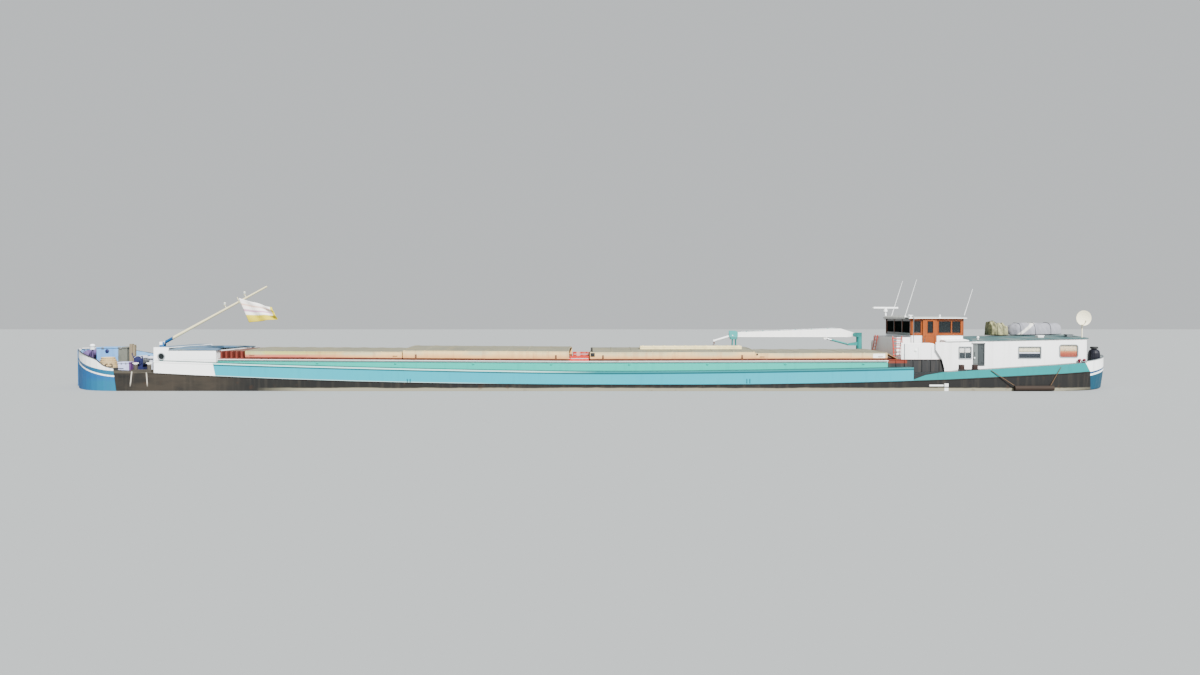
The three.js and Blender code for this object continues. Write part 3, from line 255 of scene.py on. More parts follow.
class Paint:
    # one material under construction, with the places and directions that it reads
    def __init__(self, name):
        self.material = bpy.data.materials.new(name)
        self.material.use_nodes = True
        self.tree = self.material.node_tree
        self.tree.nodes.clear()
        spots = self.node("ShaderNodeTexCoord")
        self.at = self.flow(spots, "Object")
        self.cut = self.flow(spots, "UV")
        self.x, self.y, self.z = self.split(self.at)
        self.nx, self.ny, self.nz = self.split(self.flow(spots, "Normal"))

    def node(self, kind, settings=None, inputs=None):
        made = self.tree.nodes.new(kind)
        for key, value in (settings or {}).items():
            setattr(made, key, value)
        for key, value in (inputs or {}).items():
            if isinstance(value, Flow):
                self.tree.links.new(value.socket, made.inputs[key])
            else:
                made.inputs[key].default_value = value
        return made

    def flow(self, made, key=0):
        return Flow(self, made.outputs[key])

    def split(self, vector):
        # the three parts of a vector
        made = self.node("ShaderNodeSeparateXYZ", {}, {0: vector})
        return [self.flow(made, key) for key in range(3)]

    def noise(self, scale, detail=3.0, stretch=(1, 1, 1)):
        # noise at the object's own places, stretched by a factor on each axis
        made = self.node("ShaderNodeVectorMath", {"operation": "MULTIPLY"}, {0: self.at, 1: stretch})
        made = self.node("ShaderNodeTexNoise", {}, {
            "Vector": self.flow(made), "Scale": scale, "Detail": detail, "Roughness": 0.55})
        return self.flow(made)

    def blend(self, share, first, second):
        # the second colour over the first, by a share
        first, second = [tint(v) if isinstance(v, str) else v for v in (first, second)]
        return self.flow(self.node("ShaderNodeMix", {"data_type": "RGBA"}, {
            "Factor": share, 6: first, 7: second}), 2)

    def mottle(self, light, dark, *grain):
        # two colours mixed by noise
        return self.blend(self.noise(*grain), light, dark)

    def layered(self, colour, layers):
        # each (share, colour) laid over the last
        for share, over in layers:
            colour = self.blend(share, colour, over)
        return colour

    def ramp(self, value, stops):
        # colours at places from 0 to 1
        made = self.node("ShaderNodeValToRGB", {}, {0: value})
        elements = made.color_ramp.elements
        while len(elements) < len(stops):
            elements.new(0.5)
        for element, (place, colour) in zip(elements, stops):
            element.position = place
            element.color = tint(colour)
        return self.flow(made)

    def streaks(self, low=0.5, high=0.74):
        # runs of dirt down the upright faces
        return self.noise(1.0, 3.0, (9, 9, 0.7)).above((low + high) / 2, high - low)

    def patches(self, scale, low, high):
        # blots of noise with soft edges
        return self.noise(scale, 4.0).above((low + high) / 2, high - low)

    def finish(self, colour, rough, metal=0.0, bump=None, depth=0.001, coat=0.0, alpha=1.0, gloss=0.3):
        # shader with its bump, and the finished material
        inputs = {"Base Color": tint(colour) if isinstance(colour, str) else colour, "Roughness": rough,
                  "Metallic": metal, "Coat Weight": coat, "Alpha": alpha, "Specular IOR Level": gloss}
        if bump is not None:
            made = self.node("ShaderNodeBump", {}, {"Height": bump, "Distance": depth, "Strength": 1.0})
            inputs["Normal"] = self.flow(made)
        shader = self.node("ShaderNodeBsdfPrincipled", {}, inputs)
        self.node("ShaderNodeOutputMaterial", {}, {"Surface": self.flow(shader)})
        return self.material


# Lines of the hull as heights over x, for shapes and paints alike


def held(value, low, high=99.0):
    # kept between two limits, for a number, an array or a socket
    return value.most(low).least(high) if isinstance(value, Flow) else np.clip(value, low, high)


def coamingTop(x):
    # two straight lines that rise fore and aft from their lowest point
    return 1.765 + held(x - 0.252, 0) * 0.00563 + held(0.252 - x, 0) * 0.00211


def gangwayTop(x):
    # power curves fore and aft of the lowest point
    return 1.54 + 0.195 * (held(x + 0.4, 0) / 8.92) ** 1.5 + 0.095 * (held(-0.4 - x, 0) / 6.948) ** 1.6


def lowSheer(x):
    # power curves fore and aft of the lowest point
    return 1.25 + 0.268 * (held(x + 1.8, 0) / 11.78) ** 2.5 + 0.283 * (held(-1.8 - x, 0, 9.47) / 9.47) ** 2.2


def aftDeckTop(x):
    # a power curve that rises aft
    return 1.5 + 0.237 * (held(-7.348 - x, 0, 3.922) / 3.922) ** 1.25


def deckHalf(x):
    # half width of the deck: straight sides, drawn in by powers of the distance past either shoulder
    fore = (1 - held((x - 10.4) / 2.08, 0, 1) ** 3.3) ** 1.15
    aft = (1 - held((-10.7 - x) / 1.7, 0, 1) ** 2.4) ** 0.8
    return 0.012 + 1.638 * np.minimum(fore, aft)


def cabinRoofLow(x):
    # a straight line that rises aft
    return 2.215 + 0.065 * (-8.17 - x) / 3.25


cabinRoofHalf = 1.37


def cabinRoofTop(x, y):
    # a parabola across the roof, over its lower edge
    return cabinRoofLow(x) + 0.02 + 0.052 * (1 - (y / cabinRoofHalf) ** 2)


# What lies over a paint's first colour, as layers of (share, colour)


def bowBands(p):
    # white band, blue band, white line and blue, all sweeping up to the stem
    rise = held(p.x - 10.8, 0.001) ** 1.6
    lineLow = 1.420 + rise * 0.195
    upper = p.blend(p.x.below(11.35, 0.8) * 0.5, "#174f78", "#216a78")
    teal = p.x.below(11.5, 0.8) * p.z.below(1.36, 0.12) * p.noise(1.6).above(0.35, 0.3)
    colour = p.layered("#f8f9f6", [
        (p.z.below(1.556 + rise * 0.165), upper),
        (p.z.below(lineLow + 0.034), "#f8f9f6"),
        (p.z.below(lineLow), p.blend(teal * 0.7, "#1c5688", "#15687c")),
        (p.streaks(0.56, 0.75) * 0.3, "#2c5a7c")])
    return p.x.above(10.785 + (p.z - 1.1) * 0.132, 0.01), colour


def sternBands(p):
    # the same at the stern, lower and nearly level
    back = -11.46 - p.x
    colour = p.layered("#f8f9f6", [
        (p.z.below(1.524 + back * 0.12), "#123e66"),
        (p.z.below(1.478 + back * 0.13), "#eef6f8"),
        (p.z.below(1.434 + back * 0.13), "#143f52"),
        (p.streaks(0.55, 0.75) * 0.3, "#245272")])
    edge = (-11.46 + held(p.z - 1.527, 0) * 0.71) - held(1.527 - p.z, 0) * 0.11
    return p.x.below(edge, 0.01), colour


def holdPlates(p):
    # dull grey plates with rust on everything that faces into the hold
    bare = p.mottle("#3b3a39", "#4a4743", 1.4, 4.0)
    bare = p.blend(p.patches(2.5, 0.5, 0.66) * 0.6, bare, "#512d1f")
    return abs(p.y).below(1.296) * p.x.within(-6.86, 8.6), bare


def hullLayers(p):
    # worn black with scum at the waterline, draught marks and two pale runs under the fore bollards
    layers = [
        (p.streaks(0.5, 0.7) * 0.4, "#3c3831"),
        (p.x.within(8.2, 10.9, 0.8) * p.noise(2.2, 4.0, (0.6, 1, 2)).above(0.42, 0.3) * 0.75, "#39332b"),
        (p.x.above(9.9, 0.2) * p.z.above(1.505, 0.02) * 0.5, "#565145"),
        (p.z.below(1.148 + p.noise(3.0, 3.0, (0.6, 1, 1)) * 0.04, 0.02) * p.x.within(-11.2, 7.0, 1.2) * 0.8,
         "#8f8a75"),
        (p.noise(5.0, 5.0).above(0.66, 0.06) * p.z.below(1.4, 0.3) * 0.35, "#3a281d")]
    for aft, fore, low, high in [(-8.03, -7.71, 1.208, 1.243), (-8.142, -8.052, 1.2, 1.27),
                                 (-8.142, -8.052, 1.1, 1.172)]:
        layers.append((p.x.within(aft, fore) * p.z.within(low, high) * 0.92, "#eceeea"))
    for top, lean in ((10.42, -0.12), (10.09, 0.06)):
        away = abs(p.x - (top - (1.55 - p.z) * lean))
        layers.append(((0.013 - away).above(0, 0.008) * p.z.above(1.24, 0.1) * 0.85, "#b9b2a4"))
    deck = p.nz.above(0.55, 0.1) * p.z.above(1.25)
    return layers + [bowBands(p), sternBands(p), (deck, p.mottle("#2b2a27", "#413d35", 2.5, 4.0)),
                     (p.z.below(waterline, 0.01), "#231c19"), holdPlates(p)]


def hullRelief(p):
    # plate seams over long waves
    seams = (p.x.repeat(1.5).below(0.006) * 0.5).most(p.z.repeat(0.42).below(0.01, 0.01) * 0.3)
    return p.noise(1.1, 3.0, (0.6, 1, 1)) + seams * 0.2


def plated(scale):
    # plate seams over waves of a given scale
    return lambda p: p.noise(scale, 2.0) + p.x.repeat(1.8).below(0.004, 0.003) * 0.2


def sideLayers(p):
    # rubbing bar with its painted shadow, pale foot forward, white panel, marks and a tread painted dark as
    # shade
    top = gangwayTop(p.x)
    layers = [
        (p.streaks(0.55, 0.8) * 0.25, "#08717c"),
        (p.z.above(top - 0.034) * 0.9, p.blend(p.x.above(0.6, 1.5), "#1d6f72", "#a5d6d0")),
        (p.z.within(top - 0.062, top - 0.034) * 0.85, "#063b3f"),
        (p.z.below(lowSheer(p.x) + 0.012) * p.x.above(2.5, 1.0) * 0.7, "#c9e4e0"),
        (p.x.above(8.535 + (p.z - 1.5) * 0.2, 0.01), "#f8f9f7")]
    for mark in (4.16, 4.095, -3.557, -3.625):
        bars = p.x.within(mark - 0.014, mark + 0.014) * p.z.within(1.27, 1.375)
        layers.append((bars * (0.55 + p.noise(30.0) * 0.4), "#123538"))
    # the tread: a dark teal deck, painted darker still as shade
    return layers + [(p.nz.above(0.7, 0.1), p.mottle("#0e3a3b", "#1b4f4d", 2.5, 4.0)), holdPlates(p)]


def coamingLayers(p):
    # white rail, and red inside with a pale stripe
    top = coamingTop(p.x)
    inside = abs(p.y).below(1.297, 0.002) * p.x.within(-6.8, 8.55)
    return [
        (p.streaks(0.52, 0.75) * 0.22, "#0f7c72"),
        (p.z.above(top - 0.045), "#f4f8f4"),
        (p.patches(9.0, 0.6, 0.7) * p.z.above(top - 0.02, 0.02) * 0.5, "#b98d72"),
        (inside, "#8c2c20"),
        (inside * p.z.within(1.70, 1.73), "#d99a83")]


def aftDeckLayers(p):
    # dark waist, bands, and a grey deck that is darker by the wheelhouse
    top = (1.36 + (-7.35 - p.x) * 0.38).least(1.458 + (-7.6 - p.x) * 0.17)
    deck = p.nz.above(0.7, 0.1)
    return [(p.streaks(0.52, 0.75) * 0.25, "#075655"), (p.z.above(top, 0.01), "#1b1c1d"), sternBands(p),
            (deck, p.mottle("#3a4849", "#525f5d", 3.0, 4.0)), (deck * p.x.above(-8.2, 0.05), "#1c2224")]


def bulwarkLayers(p):
    # bands outside, blue where the face looks inward, a dark top edge
    radial = p.nx * (p.x - 10.9) + p.ny * p.y
    return [bowBands(p), (radial.below(0, 0.05), p.mottle("#5d8fbd", "#79a5cb", 2.0)),
            (p.nz.above(0.5, 0.2), "#17181b")]


def foreHouseLayers(p):
    # dirt round the foot, runs, a faint line aft and a blue-grey top
    foot = p.z.below(1.70 + p.noise(4.0, 4.0, (1, 1, 0.4)) * 0.1, 0.12)
    return [(foot * 0.3, "#b7a58c"), (p.streaks(0.56, 0.8) * 0.3, "#a9a69b"),
            (p.z.within(1.792, 1.802) * p.x.below(9.4, 0.01) * 0.35, "#8a8f90"),
            (p.nz.above(0.7, 0.1), "#4a667d")]


def casingLayers(p):
    # dark grey sides under the red deck
    red = p.blend(p.patches(5.0, 0.5, 0.66) * 0.5, p.mottle("#7d2f1b", "#632415", 3.0, 4.0), "#573e2e")
    deck = p.nz.above(0.7, 0.1).most(p.z.above(1.715, 0.01) * p.x.above(-7.30, 0.03))
    return [(p.streaks(0.5, 0.72) * 0.45, "#4f473c"), (deck, red)]


def newPaint(name, light, dark, grain, layers=None, rough=(0.4, 6.0, 0.2), bump=(20.0, 3.0), depth=0.001,
             share=1.0, **more):
    # a cloudy mix of two colours under its layers; roughness and bump vary with noise too
    p = Paint(name)
    colour = p.layered(p.blend(p.noise(*grain) * share, light, dark), layers(p) if layers else [])
    rough = rough[0] + p.noise(rough[1]) * rough[2] if isinstance(rough, tuple) else rough
    return p.finish(colour, rough, bump=bump(p) if callable(bump) else p.noise(*bump), depth=depth, **more)


def whitePaint(name, dirt="#b9b7ac", amount=0.3):
    # gloss white with runs of dirt and a few chips
    return newPaint(name, "#fbfbfa", "#eff0ee", (1.5,), lambda p: [
        (p.streaks(0.5, 0.75) * amount, dirt), (p.noise(14.0, 5.0).above(0.7, 0.03) * amount, "#96745f"),
    ], (0.32, 5.0, 0.25), (2.0,), 0.002, share=0.4)


def plainPaint(name, light, dark, wear, amount=0.3, rough=0.45):
    # one colour with cloudy variation, runs and chips
    return newPaint(name, light, dark, (3.0, 4.0), lambda p: [
        (p.streaks() * amount, wear), (p.noise(18.0, 5.0).above(0.66, 0.05) * amount, wear),
    ], (rough, 6.0, 0.2), (24.0, 4.0), 0.0015)


def hatchPaint(name, edge, pinkFore=False, patch=False):
    # grey mottled tops, cream to peach skirts and a red foot
    p = Paint(name)
    height = p.z - coamingTop(p.x)
    skirt = [(height.above(edge * 0.62, edge * 0.55) * 0.75, "#e6cf96")]
    if pinkFore:
        fore = p.x.above(6.0, 1.6)
        skirt += [(fore * 0.85, "#b5524a"), (fore * height.above(edge * 0.6, 0.05) * 0.85, "#b3bb6a")]
    skirt += [(height.above(edge * 0.55, 0.06) * p.patches(1.3, 0.45, 0.6) * 0.6, "#a7ad92"),
              (height.below(0.046 + p.noise(5.0) * 0.012, 0.012) * 0.92, "#42150b"),
              (p.streaks(0.5, 0.72) * 0.35, "#9a5b3d")]
    if patch:
        skirt.append((p.x.within(-6.80, -6.52) * height.within(0.06, edge - 0.015), "#fbf9f4"))
    sheet = p.layered(p.mottle("#605f50", "#7f7c68", 1.8, 5.0, (1, 0.6, 1)), [
        (p.patches(2.6, 0.52, 0.66) * 0.6, "#7d7356"),
        (p.noise(9.0, 4.0).above(0.62, 0.05) * 0.5, "#525954")])
    colour = p.blend(p.nz.above(0.55, 0.2), p.layered(p.mottle("#dba667", "#cd9056", 0.9), skirt), sheet)
    return p.finish(colour, 0.55 + p.noise(6.0) * 0.2, bump=p.noise(5.0, 4.0), depth=0.002)


def varnish(name, light, dark, along=(1, 1, 0.12)):
    # long grain and dark joints under a clear coat; whatever lies at the fore wall and does not face sideways
    # is painted nearly black as shade
    p = Paint(name)
    grain = p.noise(26.0, 6.0, along)
    boards = p.x.repeat(0.11).below(0.02, 0.02)
    colour = p.layered(p.blend(grain.above(0.5, 0.5), light, dark), [
        (p.noise(3.0, 3.0, along) * 0.5, "#a85c22"), (boards * 0.4, "#3b1706"),
        # painted shade: the fore wall's wood nearly black
        (p.x.above(-7.507, 0.002) * p.ny.below(0.7, 0.1) * 0.95, "#120d0a")])
    return p.finish(colour, 0.3, bump=grain * 0.3 - boards * 0.5, depth=0.002, coat=0.35)


def roofPaint(name, light, dark, whiteAbove=9.0, whiteFore=99.0):
    # worn non-slip paint; white above a given height and forward of a given place
    return newPaint(name, light, dark, (1.6, 5.0), lambda p: [
        (p.patches(2.2, 0.5, 0.68) * 0.5, "#787e78"), (p.noise(12.0, 4.0).above(0.63, 0.04) * 0.5, "#4c4a3e"),
        (p.z.above(whiteAbove).most(p.x.above(whiteFore)), "#fcfcfa")], 0.7, (160.0, 2.0), 0.0015)


def woodWear(p):
    # grey worn patches
    return [(p.patches(6.0, 0.5, 0.7) * 0.3, "#6d604a")]


def woodPaint(name, light, dark, along, rough, layers=woodWear):
    # one stretched grain for the colour and the relief
    grain = (30.0, 6.0, along)
    return newPaint(name, light, dark, grain, layers, rough, grain, 0.003)


def glassPaint(name, colour, alpha, gloss):
    # a clear dark sheet with faint clouds
    p = Paint(name)
    mixed = p.blend(p.noise(2.0, 2.0) * 0.5, colour, "#1d2626")
    return p.finish(mixed, 0.06 + p.noise(3.0) * 0.05, alpha=alpha, gloss=gloss)


def clothPaint(name, stops, weave, grime, fly=None):
    # colours across the cut, with a fine weave read from the sheet's own UV, and the fly end's own colour
    p = Paint(name)
    u, v, _ = p.split(p.cut)
    layers = [(u.above(0.9 + v * 0.04, 0.02), fly)] if fly else []
    layers.append((p.noise(5.0, 4.0) * grime, "#8d8a84"))
    colour = p.layered(p.ramp(v + (p.noise(4.0) - 0.5) * 0.03, stops), layers)
    threads = (u * weave).sine() * (v * weave).sine()
    return p.finish(colour, 0.85, bump=threads * 0.3 + p.noise(9.0), depth=0.0015)


def ropePaint():
    # three strands as slanting bands
    p = Paint("rope_tan")
    around = p.noise(60.0)
    lay = ((p.x + p.y + p.z * 1.5) * 210.0).sine()
    colour = p.layered(p.blend(around, "#cdb078", "#a98a56"), [
        (lay.above(0.6, 0.5) * 0.4, "#6d5430"), (p.noise(5.0) * 0.6, "#e6d5ae")])
    return p.finish(colour, 0.85, bump=lay * 0.6 + around, depth=0.003)


def greyCoverLayers(p):
    # a pale stripe slanting over the sheet
    streak = (p.x + 10.43 + (p.z - 2.45) * 1.3).within(-0.05, 0.05, 0.03) * p.z.above(2.36, 0.05)
    return [(streak * 0.85, "#e9e6da"), (p.streaks(0.5, 0.7) * 0.3, "#5d5e66")]


def coverRelief(p):
    # weave and loose wrinkles
    return p.noise(240.0, 2.0) * 0.4 + p.noise(13.0, 4.0)


def oliveCover():
    # two mottles, one over the other
    p = Paint("olive_cover")
    colour = p.layered(p.blend(p.noise(9.0, 5.0).above(0.5, 0.2), "#8f8c66", "#67664a"), [
        (p.noise(17.0, 4.0).above(0.6, 0.08) * 0.5, "#aba88c")])
    return p.finish(colour, 0.85, bump=coverRelief(p), depth=0.006)


paints = {
    "hull": newPaint("hull_black", "#141518", "#24231f", (1.3, 4.0, (0.35, 1, 1)), hullLayers,
                     (0.5, 6.0, 0.3), hullRelief, 0.006, gloss=0.16),
    "side": newPaint("raised_side_turquoise", "#008fa6", "#0c9ba6", (0.5,), sideLayers, (0.38, 4.0, 0.2),
                     plated(0.9), 0.005),
    "coaming": newPaint("coaming_mint", "#04a394", "#17ad9b", (0.7,), coamingLayers, (0.42, 5.0, 0.2),
                        plated(1.2), 0.004),
    "aft": newPaint("aft_strake_turquoise", "#017375", "#0c7f7d", (0.8,), aftDeckLayers, (0.4, 4.0, 0.25),
                    (1.5,), 0.004),
    "bulwark": newPaint("bow_bulwark_bands", "#1d1e1f", "#2c2b28", (3.0,), bulwarkLayers, (0.35, 5.0, 0.2),
                        (1.2,), 0.003),
    "sternRail": newPaint("stern_rail_bands", "#1e9290", "#2f9f9a", (3.0,), lambda p: [
        sternBands(p), (p.nz.above(0.5, 0.2), "#7c8890")], (0.35, 5.0, 0.2), (1.2,), 0.003),
    "foreHouse": newPaint("fore_house_white", "#fbfcfb", "#eff1f0", (1.0,), foreHouseLayers,
                          (0.35, 5.0, 0.25), (1.4,), 0.003, share=0.5),
    "white": whitePaint("gloss_white"),
    "jib": whitePaint("jib_white", "#c7c0b2", 0.2),
    # white girder with a teal head
    "boom": newPaint("boom_white", "#fcfcfa", "#f1f2ee", (1.5,), lambda p: [
        (p.streaks(0.52, 0.78) * 0.15, "#c4bdae"),
        (p.x.above(-3.775).most(p.x.below(-6.775) * p.y.within(-1.6, -1.3)),
         p.mottle("#278a88", "#3f9e9a", 5.0)),
    ], (0.34, 5.0, 0.2), (2.5,), 0.002, share=0.4),
    # white posts on a grey plate, rusty where ropes rub
    "bollard": newPaint("fore_bollard_white", "#fafaf7", "#e6e8e3", (3.0, 4.0), lambda p: [
        (p.noise(16.0, 4.0).above(0.6, 0.08) * p.z.below(1.68, 0.05) * 0.5, "#a38267"),
        (p.z.below(1.693, 0.006), p.mottle("#4b463e", "#34302a", 6.0))], (0.4, 8.0, 0.2)),
    # pale blue, its after part covered in grey canvas
    "locker": newPaint("locker_pale_blue", "#4b86c4", "#73a3d2", (3.0, 4.0), lambda p: [
        (p.streaks() * 0.3, "#3f658f"),
        (p.x.below(11.13 + p.noise(4.0) * 0.04, 0.02), p.mottle("#4b4f47", "#6f7067", 7.0, 5.0)),
        (p.z.within(2.036, 2.044, 0.003) * 0.8, "#3d5c82")], (0.45, 6.0, 0.2), (9.0, 4.0), 0.003),
    # lavender sides and a purple after end
    "chest": newPaint("deck_chest_lavender", "#a9b0d8", "#c3c8e4", (4.0, 4.0), lambda p: [
        (p.x.below(10.612, 0.01), p.mottle("#542560", "#3d1b4b", 5.0)), (p.streaks() * 0.3, "#8a8aa3"),
    ], (0.5, 6.0, 0.2), (16.0,)),
    "mauve": plainPaint("windlass_mauve", "#54406f", "#6c5886", "#352c45", 0.3, 0.5),
    # navy body under a dark cap
    "capstan": newPaint("capstan_navy", "#04050d", "#0a0c1a", (5.0, 4.0), lambda p: [
        (p.streaks() * 0.3, "#2b2b3a"), (p.z.above(2.024), p.mottle("#1b1d1f", "#303130", 9.0, 4.0)),
    ], (0.4, 8.0, 0.2), (24.0,), 0.0012),
    # grey, its fore half faded lighter
    "cabinDoor": newPaint("cabin_door_grey", "#2c3132", "#383e3f", (4.0, 4.0), lambda p: [
        (p.x.above(-8.925 + p.noise(3.0) * 0.02, 0.012) * 0.6, "#6f7674"), (p.streaks() * 0.3, "#3d4447"),
    ], (0.45, 6.0, 0.2), (12.0, 4.0), 0.0015),
    # white; the walls that look forward are painted grey-blue as shade
    "base": newPaint("wheelhouse_base_white", "#fbfcfb", "#eff0ef", (1.4,), lambda p: [
        (p.streaks(0.54, 0.78) * 0.3, "#b9b3a6"), (p.nx.above(0.6, 0.2) * 0.7, "#bfc4ce"),
        (p.nz.above(0.7, 0.1), "#9c9f9d")], (0.36, 5.0, 0.25), (1.6,), 0.002, share=0.5),
    "foreRoof": roofPaint("fore_roof_blue_grey", "#3c5a74", "#567186"),
    "cabinRoof": roofPaint("cabin_roof_teal_grey", "#2a4a4e", "#3f5a5a", whiteFore=-8.70),
    "wheelRoof": roofPaint("wheelhouse_roof_grey", "#858a8a", "#a3a69f", 2.822),
    "casing": newPaint("casing_dark_grey", "#1b1c1e", "#2b2b2b", (2.0, 4.0), casingLayers, (0.5, 6.0, 0.25),
                       (4.0,), 0.002),
    "red": plainPaint("red_oxide", "#8f3526", "#75281b", "#54301f", 0.35, 0.6),
    "ladder": plainPaint("ladder_red", "#bb2f20", "#9c2318", "#e9c3b6", 0.5),
    "blue": plainPaint("deck_blue", "#1c5a90", "#2a6a9f", "#163f5c", 0.35),
    "navy": plainPaint("winch_navy", "#151a42", "#21254e", "#46455a", 0.35),
    "tealGear": plainPaint("crane_teal", "#1a7370", "#28837f", "#56553f", 0.3, 0.4),
    "grey": plainPaint("deck_grey", "#555e61", "#696f70", "#3d4447"),
    "black": plainPaint("fitting_black", "#141517", "#202123", "#46382c"),
    "cream": plainPaint("dish_cream", "#f7f0d4", "#ece3c2", "#b3a98c", 0.15),
    "plank": woodPaint("gangplank_cream", "#f4e6b0", "#e0cd90", (0.1, 1, 1), 0.75),
    "posts": woodPaint("post_timber", "#857a64", "#665a46", (1, 1, 0.1), 0.75),
    "board": woodPaint("tan_board", "#a98b63", "#836543", (0.2, 1, 1), 0.75),
    # old timber under pale rope lashings
    "fender": woodPaint("fender_timber", "#33261c", "#1f1711", (0.1, 1, 1), 0.8, lambda p: [
        (p.z.above(1.235, 0.01), p.mottle("#6a533b", "#4a3626", 60.0))]),
    # brownish red with pale worn tops
    "beams": newPaint("beam_red", "#6e2a1f", "#571f17", (4.0, 4.0), lambda p: [
        (p.nz.above(0.6, 0.2) * (0.55 + p.noise(5.0, 4.0) * 0.4), "#9a8272"),
        (p.noise(20.0, 4.0).above(0.62, 0.05) * 0.4, "#5a3427")], (0.55, 6.0, 0.2), depth=0.0015),
    # blue posts with white heads round the mast's pin
    "tabernacle": newPaint("tabernacle_blue", "#1c5a90", "#2a6a9f", (4.0, 4.0), lambda p: [
        (p.streaks() * 0.3, "#163f5c"), (p.z.above(2.10, 0.006) * p.x.above(10.415), "#f7f8f6"),
    ], (0.45, 6.0, 0.2), depth=0.0015),
    # mauve drum foot, white lamp head
    "lampStand": newPaint("lamp_stand_white", "#fafbfa", "#e8e9ec", (4.0, 4.0), lambda p: [
        (p.z.below(1.99, 0.006), "#4a3c5e")]),
    # white, the length over the front windows painted dark as shade
    "roofEdge": newPaint("roof_edge_white", "#fbfcfb", "#e9ebea", (3.0,), lambda p: [
        # painted shade on the faces that look forward
        (p.nx.above(0.6, 0.2), p.mottle("#2a2e30", "#43484a", 6.0))], bump=(12.0,)),
    "varnish": varnish("varnished_wood", "#8f4315", "#64290b"),
    "helm": varnish("helm_wood", "#6b3412", "#48200a"),
    "beadWood": varnish("bead_wood", "#7c3610", "#552208", (1, 1, 1)),
    "steel": newPaint("bright_steel", "#b9bdbf", "#8f9395", (8.0, 4.0), None, (0.25, 12.0, 0.2), (40.0,),
                      0.0005, metal=0.9),
    "bronze": newPaint("propeller_bronze", "#a9823f", "#7c6234", (9.0, 4.0), lambda p: [
        (p.patches(6.0, 0.55, 0.7) * 0.5, "#5f7a62")], (0.35, 12.0, 0.2), (30.0,), 0.0008, metal=0.85),
    # cream pole, blue foot with a white ring
    "mast": newPaint("mast_cream", "#e2d9ae", "#cfc496", (6.0,), lambda p: [
        ((10.43 - p.x).below(0.26, 0.02), "#16456f"), ((10.43 - p.x).below(0.06, 0.02), "#e9ecec"),
    ], 0.4, depth=0.0008),
    "glass": glassPaint("window_glass", "#0e1417", 0.72, 0.5),
    # front panes: nearly opaque black glass with no reflection, painted as shade
    "darkGlass": glassPaint("front_glass_painted_shade", "#050706", 0.97, 0.0),
    "cabinGlass": glassPaint("cabin_glass", "#5a666b", 0.12, 0.25),
    "lens": glassPaint("lamp_lens", "#c9d3d6", 0.85, 0.5),
    "engine": plainPaint("engine_grey", "#4c5f58", "#3c4c46", "#2a2b26", 0.5),
    "rudderRed": plainPaint("rudder_red", "#5d261c", "#482019", "#33241d", 0.4, 0.6),
    "frameGrey": plainPaint("window_frame_grey", "#979c9e", "#7f8587", "#5d5a50", 0.25, 0.35),
    "strap": plainPaint("lashing_strap", "#33373a", "#4a4d4f", "#6d6a60", 0.3, 0.7),
    "tab": plainPaint("cover_tab_brown", "#6f4c3a", "#563a2c", "#8a6349", 0.4, 0.6),
    "footRail": plainPaint("cover_foot_red", "#42150b", "#371007", "#4b2a1d", 0.35, 0.6),
    "lid": plainPaint("pale_grey_gear", "#a9aeb8", "#c2c6cd", "#6d6f74", 0.25),
    "capping": plainPaint("capping_black", "#1a1c20", "#26282c", "#4d4133", 0.3, 0.5),
    "cap": plainPaint("bollard_cap_brown", "#25110b", "#1a0c08", "#3f2a20", 0.4, 0.6),
    "knob": plainPaint("quarter_knob_red", "#7c1530", "#5d0f24", "#3c2026", 0.3, 0.4),
    "rope": ropePaint(),
    "greyCover": newPaint("grey_cover", "#76777e", "#96969d", (2.4, 4.0), greyCoverLayers, 0.85, coverRelief,
                          0.006),
    "oliveCover": oliveCover(),
    "hatch_fore_lower": hatchPaint("hatch_fore_lower_metal", 0.188, pinkFore=True),
    "hatch_fore_upper": hatchPaint("hatch_fore_upper_metal", 0.218),
    "hatch_aft_upper": hatchPaint("hatch_aft_upper_metal", 0.202),
    "hatch_aft_lower": hatchPaint("hatch_aft_lower_metal", 0.172, patch=True),
}

# which nodes each paint goes on
wearers = {
    "hull": "hull", "side": "side_decks", "coaming": "coaming", "aft": "aft_deck", "bulwark": "bow_bulwark",
    "sternRail": "stern_rail", "blue": "stem_bar", "foreHouse": "fore_house", "foreRoof": "fore_house_roof",
    "beams": "hatch_beams", "tabernacle": "mast_tabernacle", "mast": "foremast", "mauve": "windlass",
    "lampStand": "bow_lamp_stand", "locker": "bow_locker", "chest": "deck_chest", "posts": "timber_posts",
    "navy": "fore_winch", "bollard": "bollards_fore_port bollards_fore_starboard", "plank": "gangplank",
    "tealGear": "crane_pedestal crane_column crane_cylinder boom_rest", "boom": "crane_boom",
    "jib": "crane_jib", "steel": "crane_rod", "casing": "engine_casing", "engine": "engine",
    "white": "screen_port screen_starboard radar_mast radar_scanner aft_cabin",
    "ladder": "ladder_port ladder_starboard", "base": "wheelhouse_base", "wheelRoof": "wheelhouse_roof",
    "varnish": "wheelhouse_walls wheelhouse_door_port wheelhouse_door_starboard", "helm": "helm",
    "cabinRoof": "cabin_roof", "cabinDoor": "cabin_door", "cream": "satellite_dish",
    "capstan": "stern_capstan", "black": "bollards_aft_port bollards_aft_starboard",
    "fender": "timber_fender", "bronze": "propeller", "rudderRed": "rudder",
    "hatch_fore_lower": "hatch_fore_lower", "hatch_fore_upper": "hatch_fore_upper",
    "hatch_aft_upper": "hatch_aft_upper", "hatch_aft_lower": "hatch_aft_lower",
}
for key, names in wearers.items():
    for node in names.split():
        nodes[node].data.materials.clear()
        nodes[node].data.materials.append(paints[key])
print("paints:", len(bpy.data.materials))

# Windows and their frames

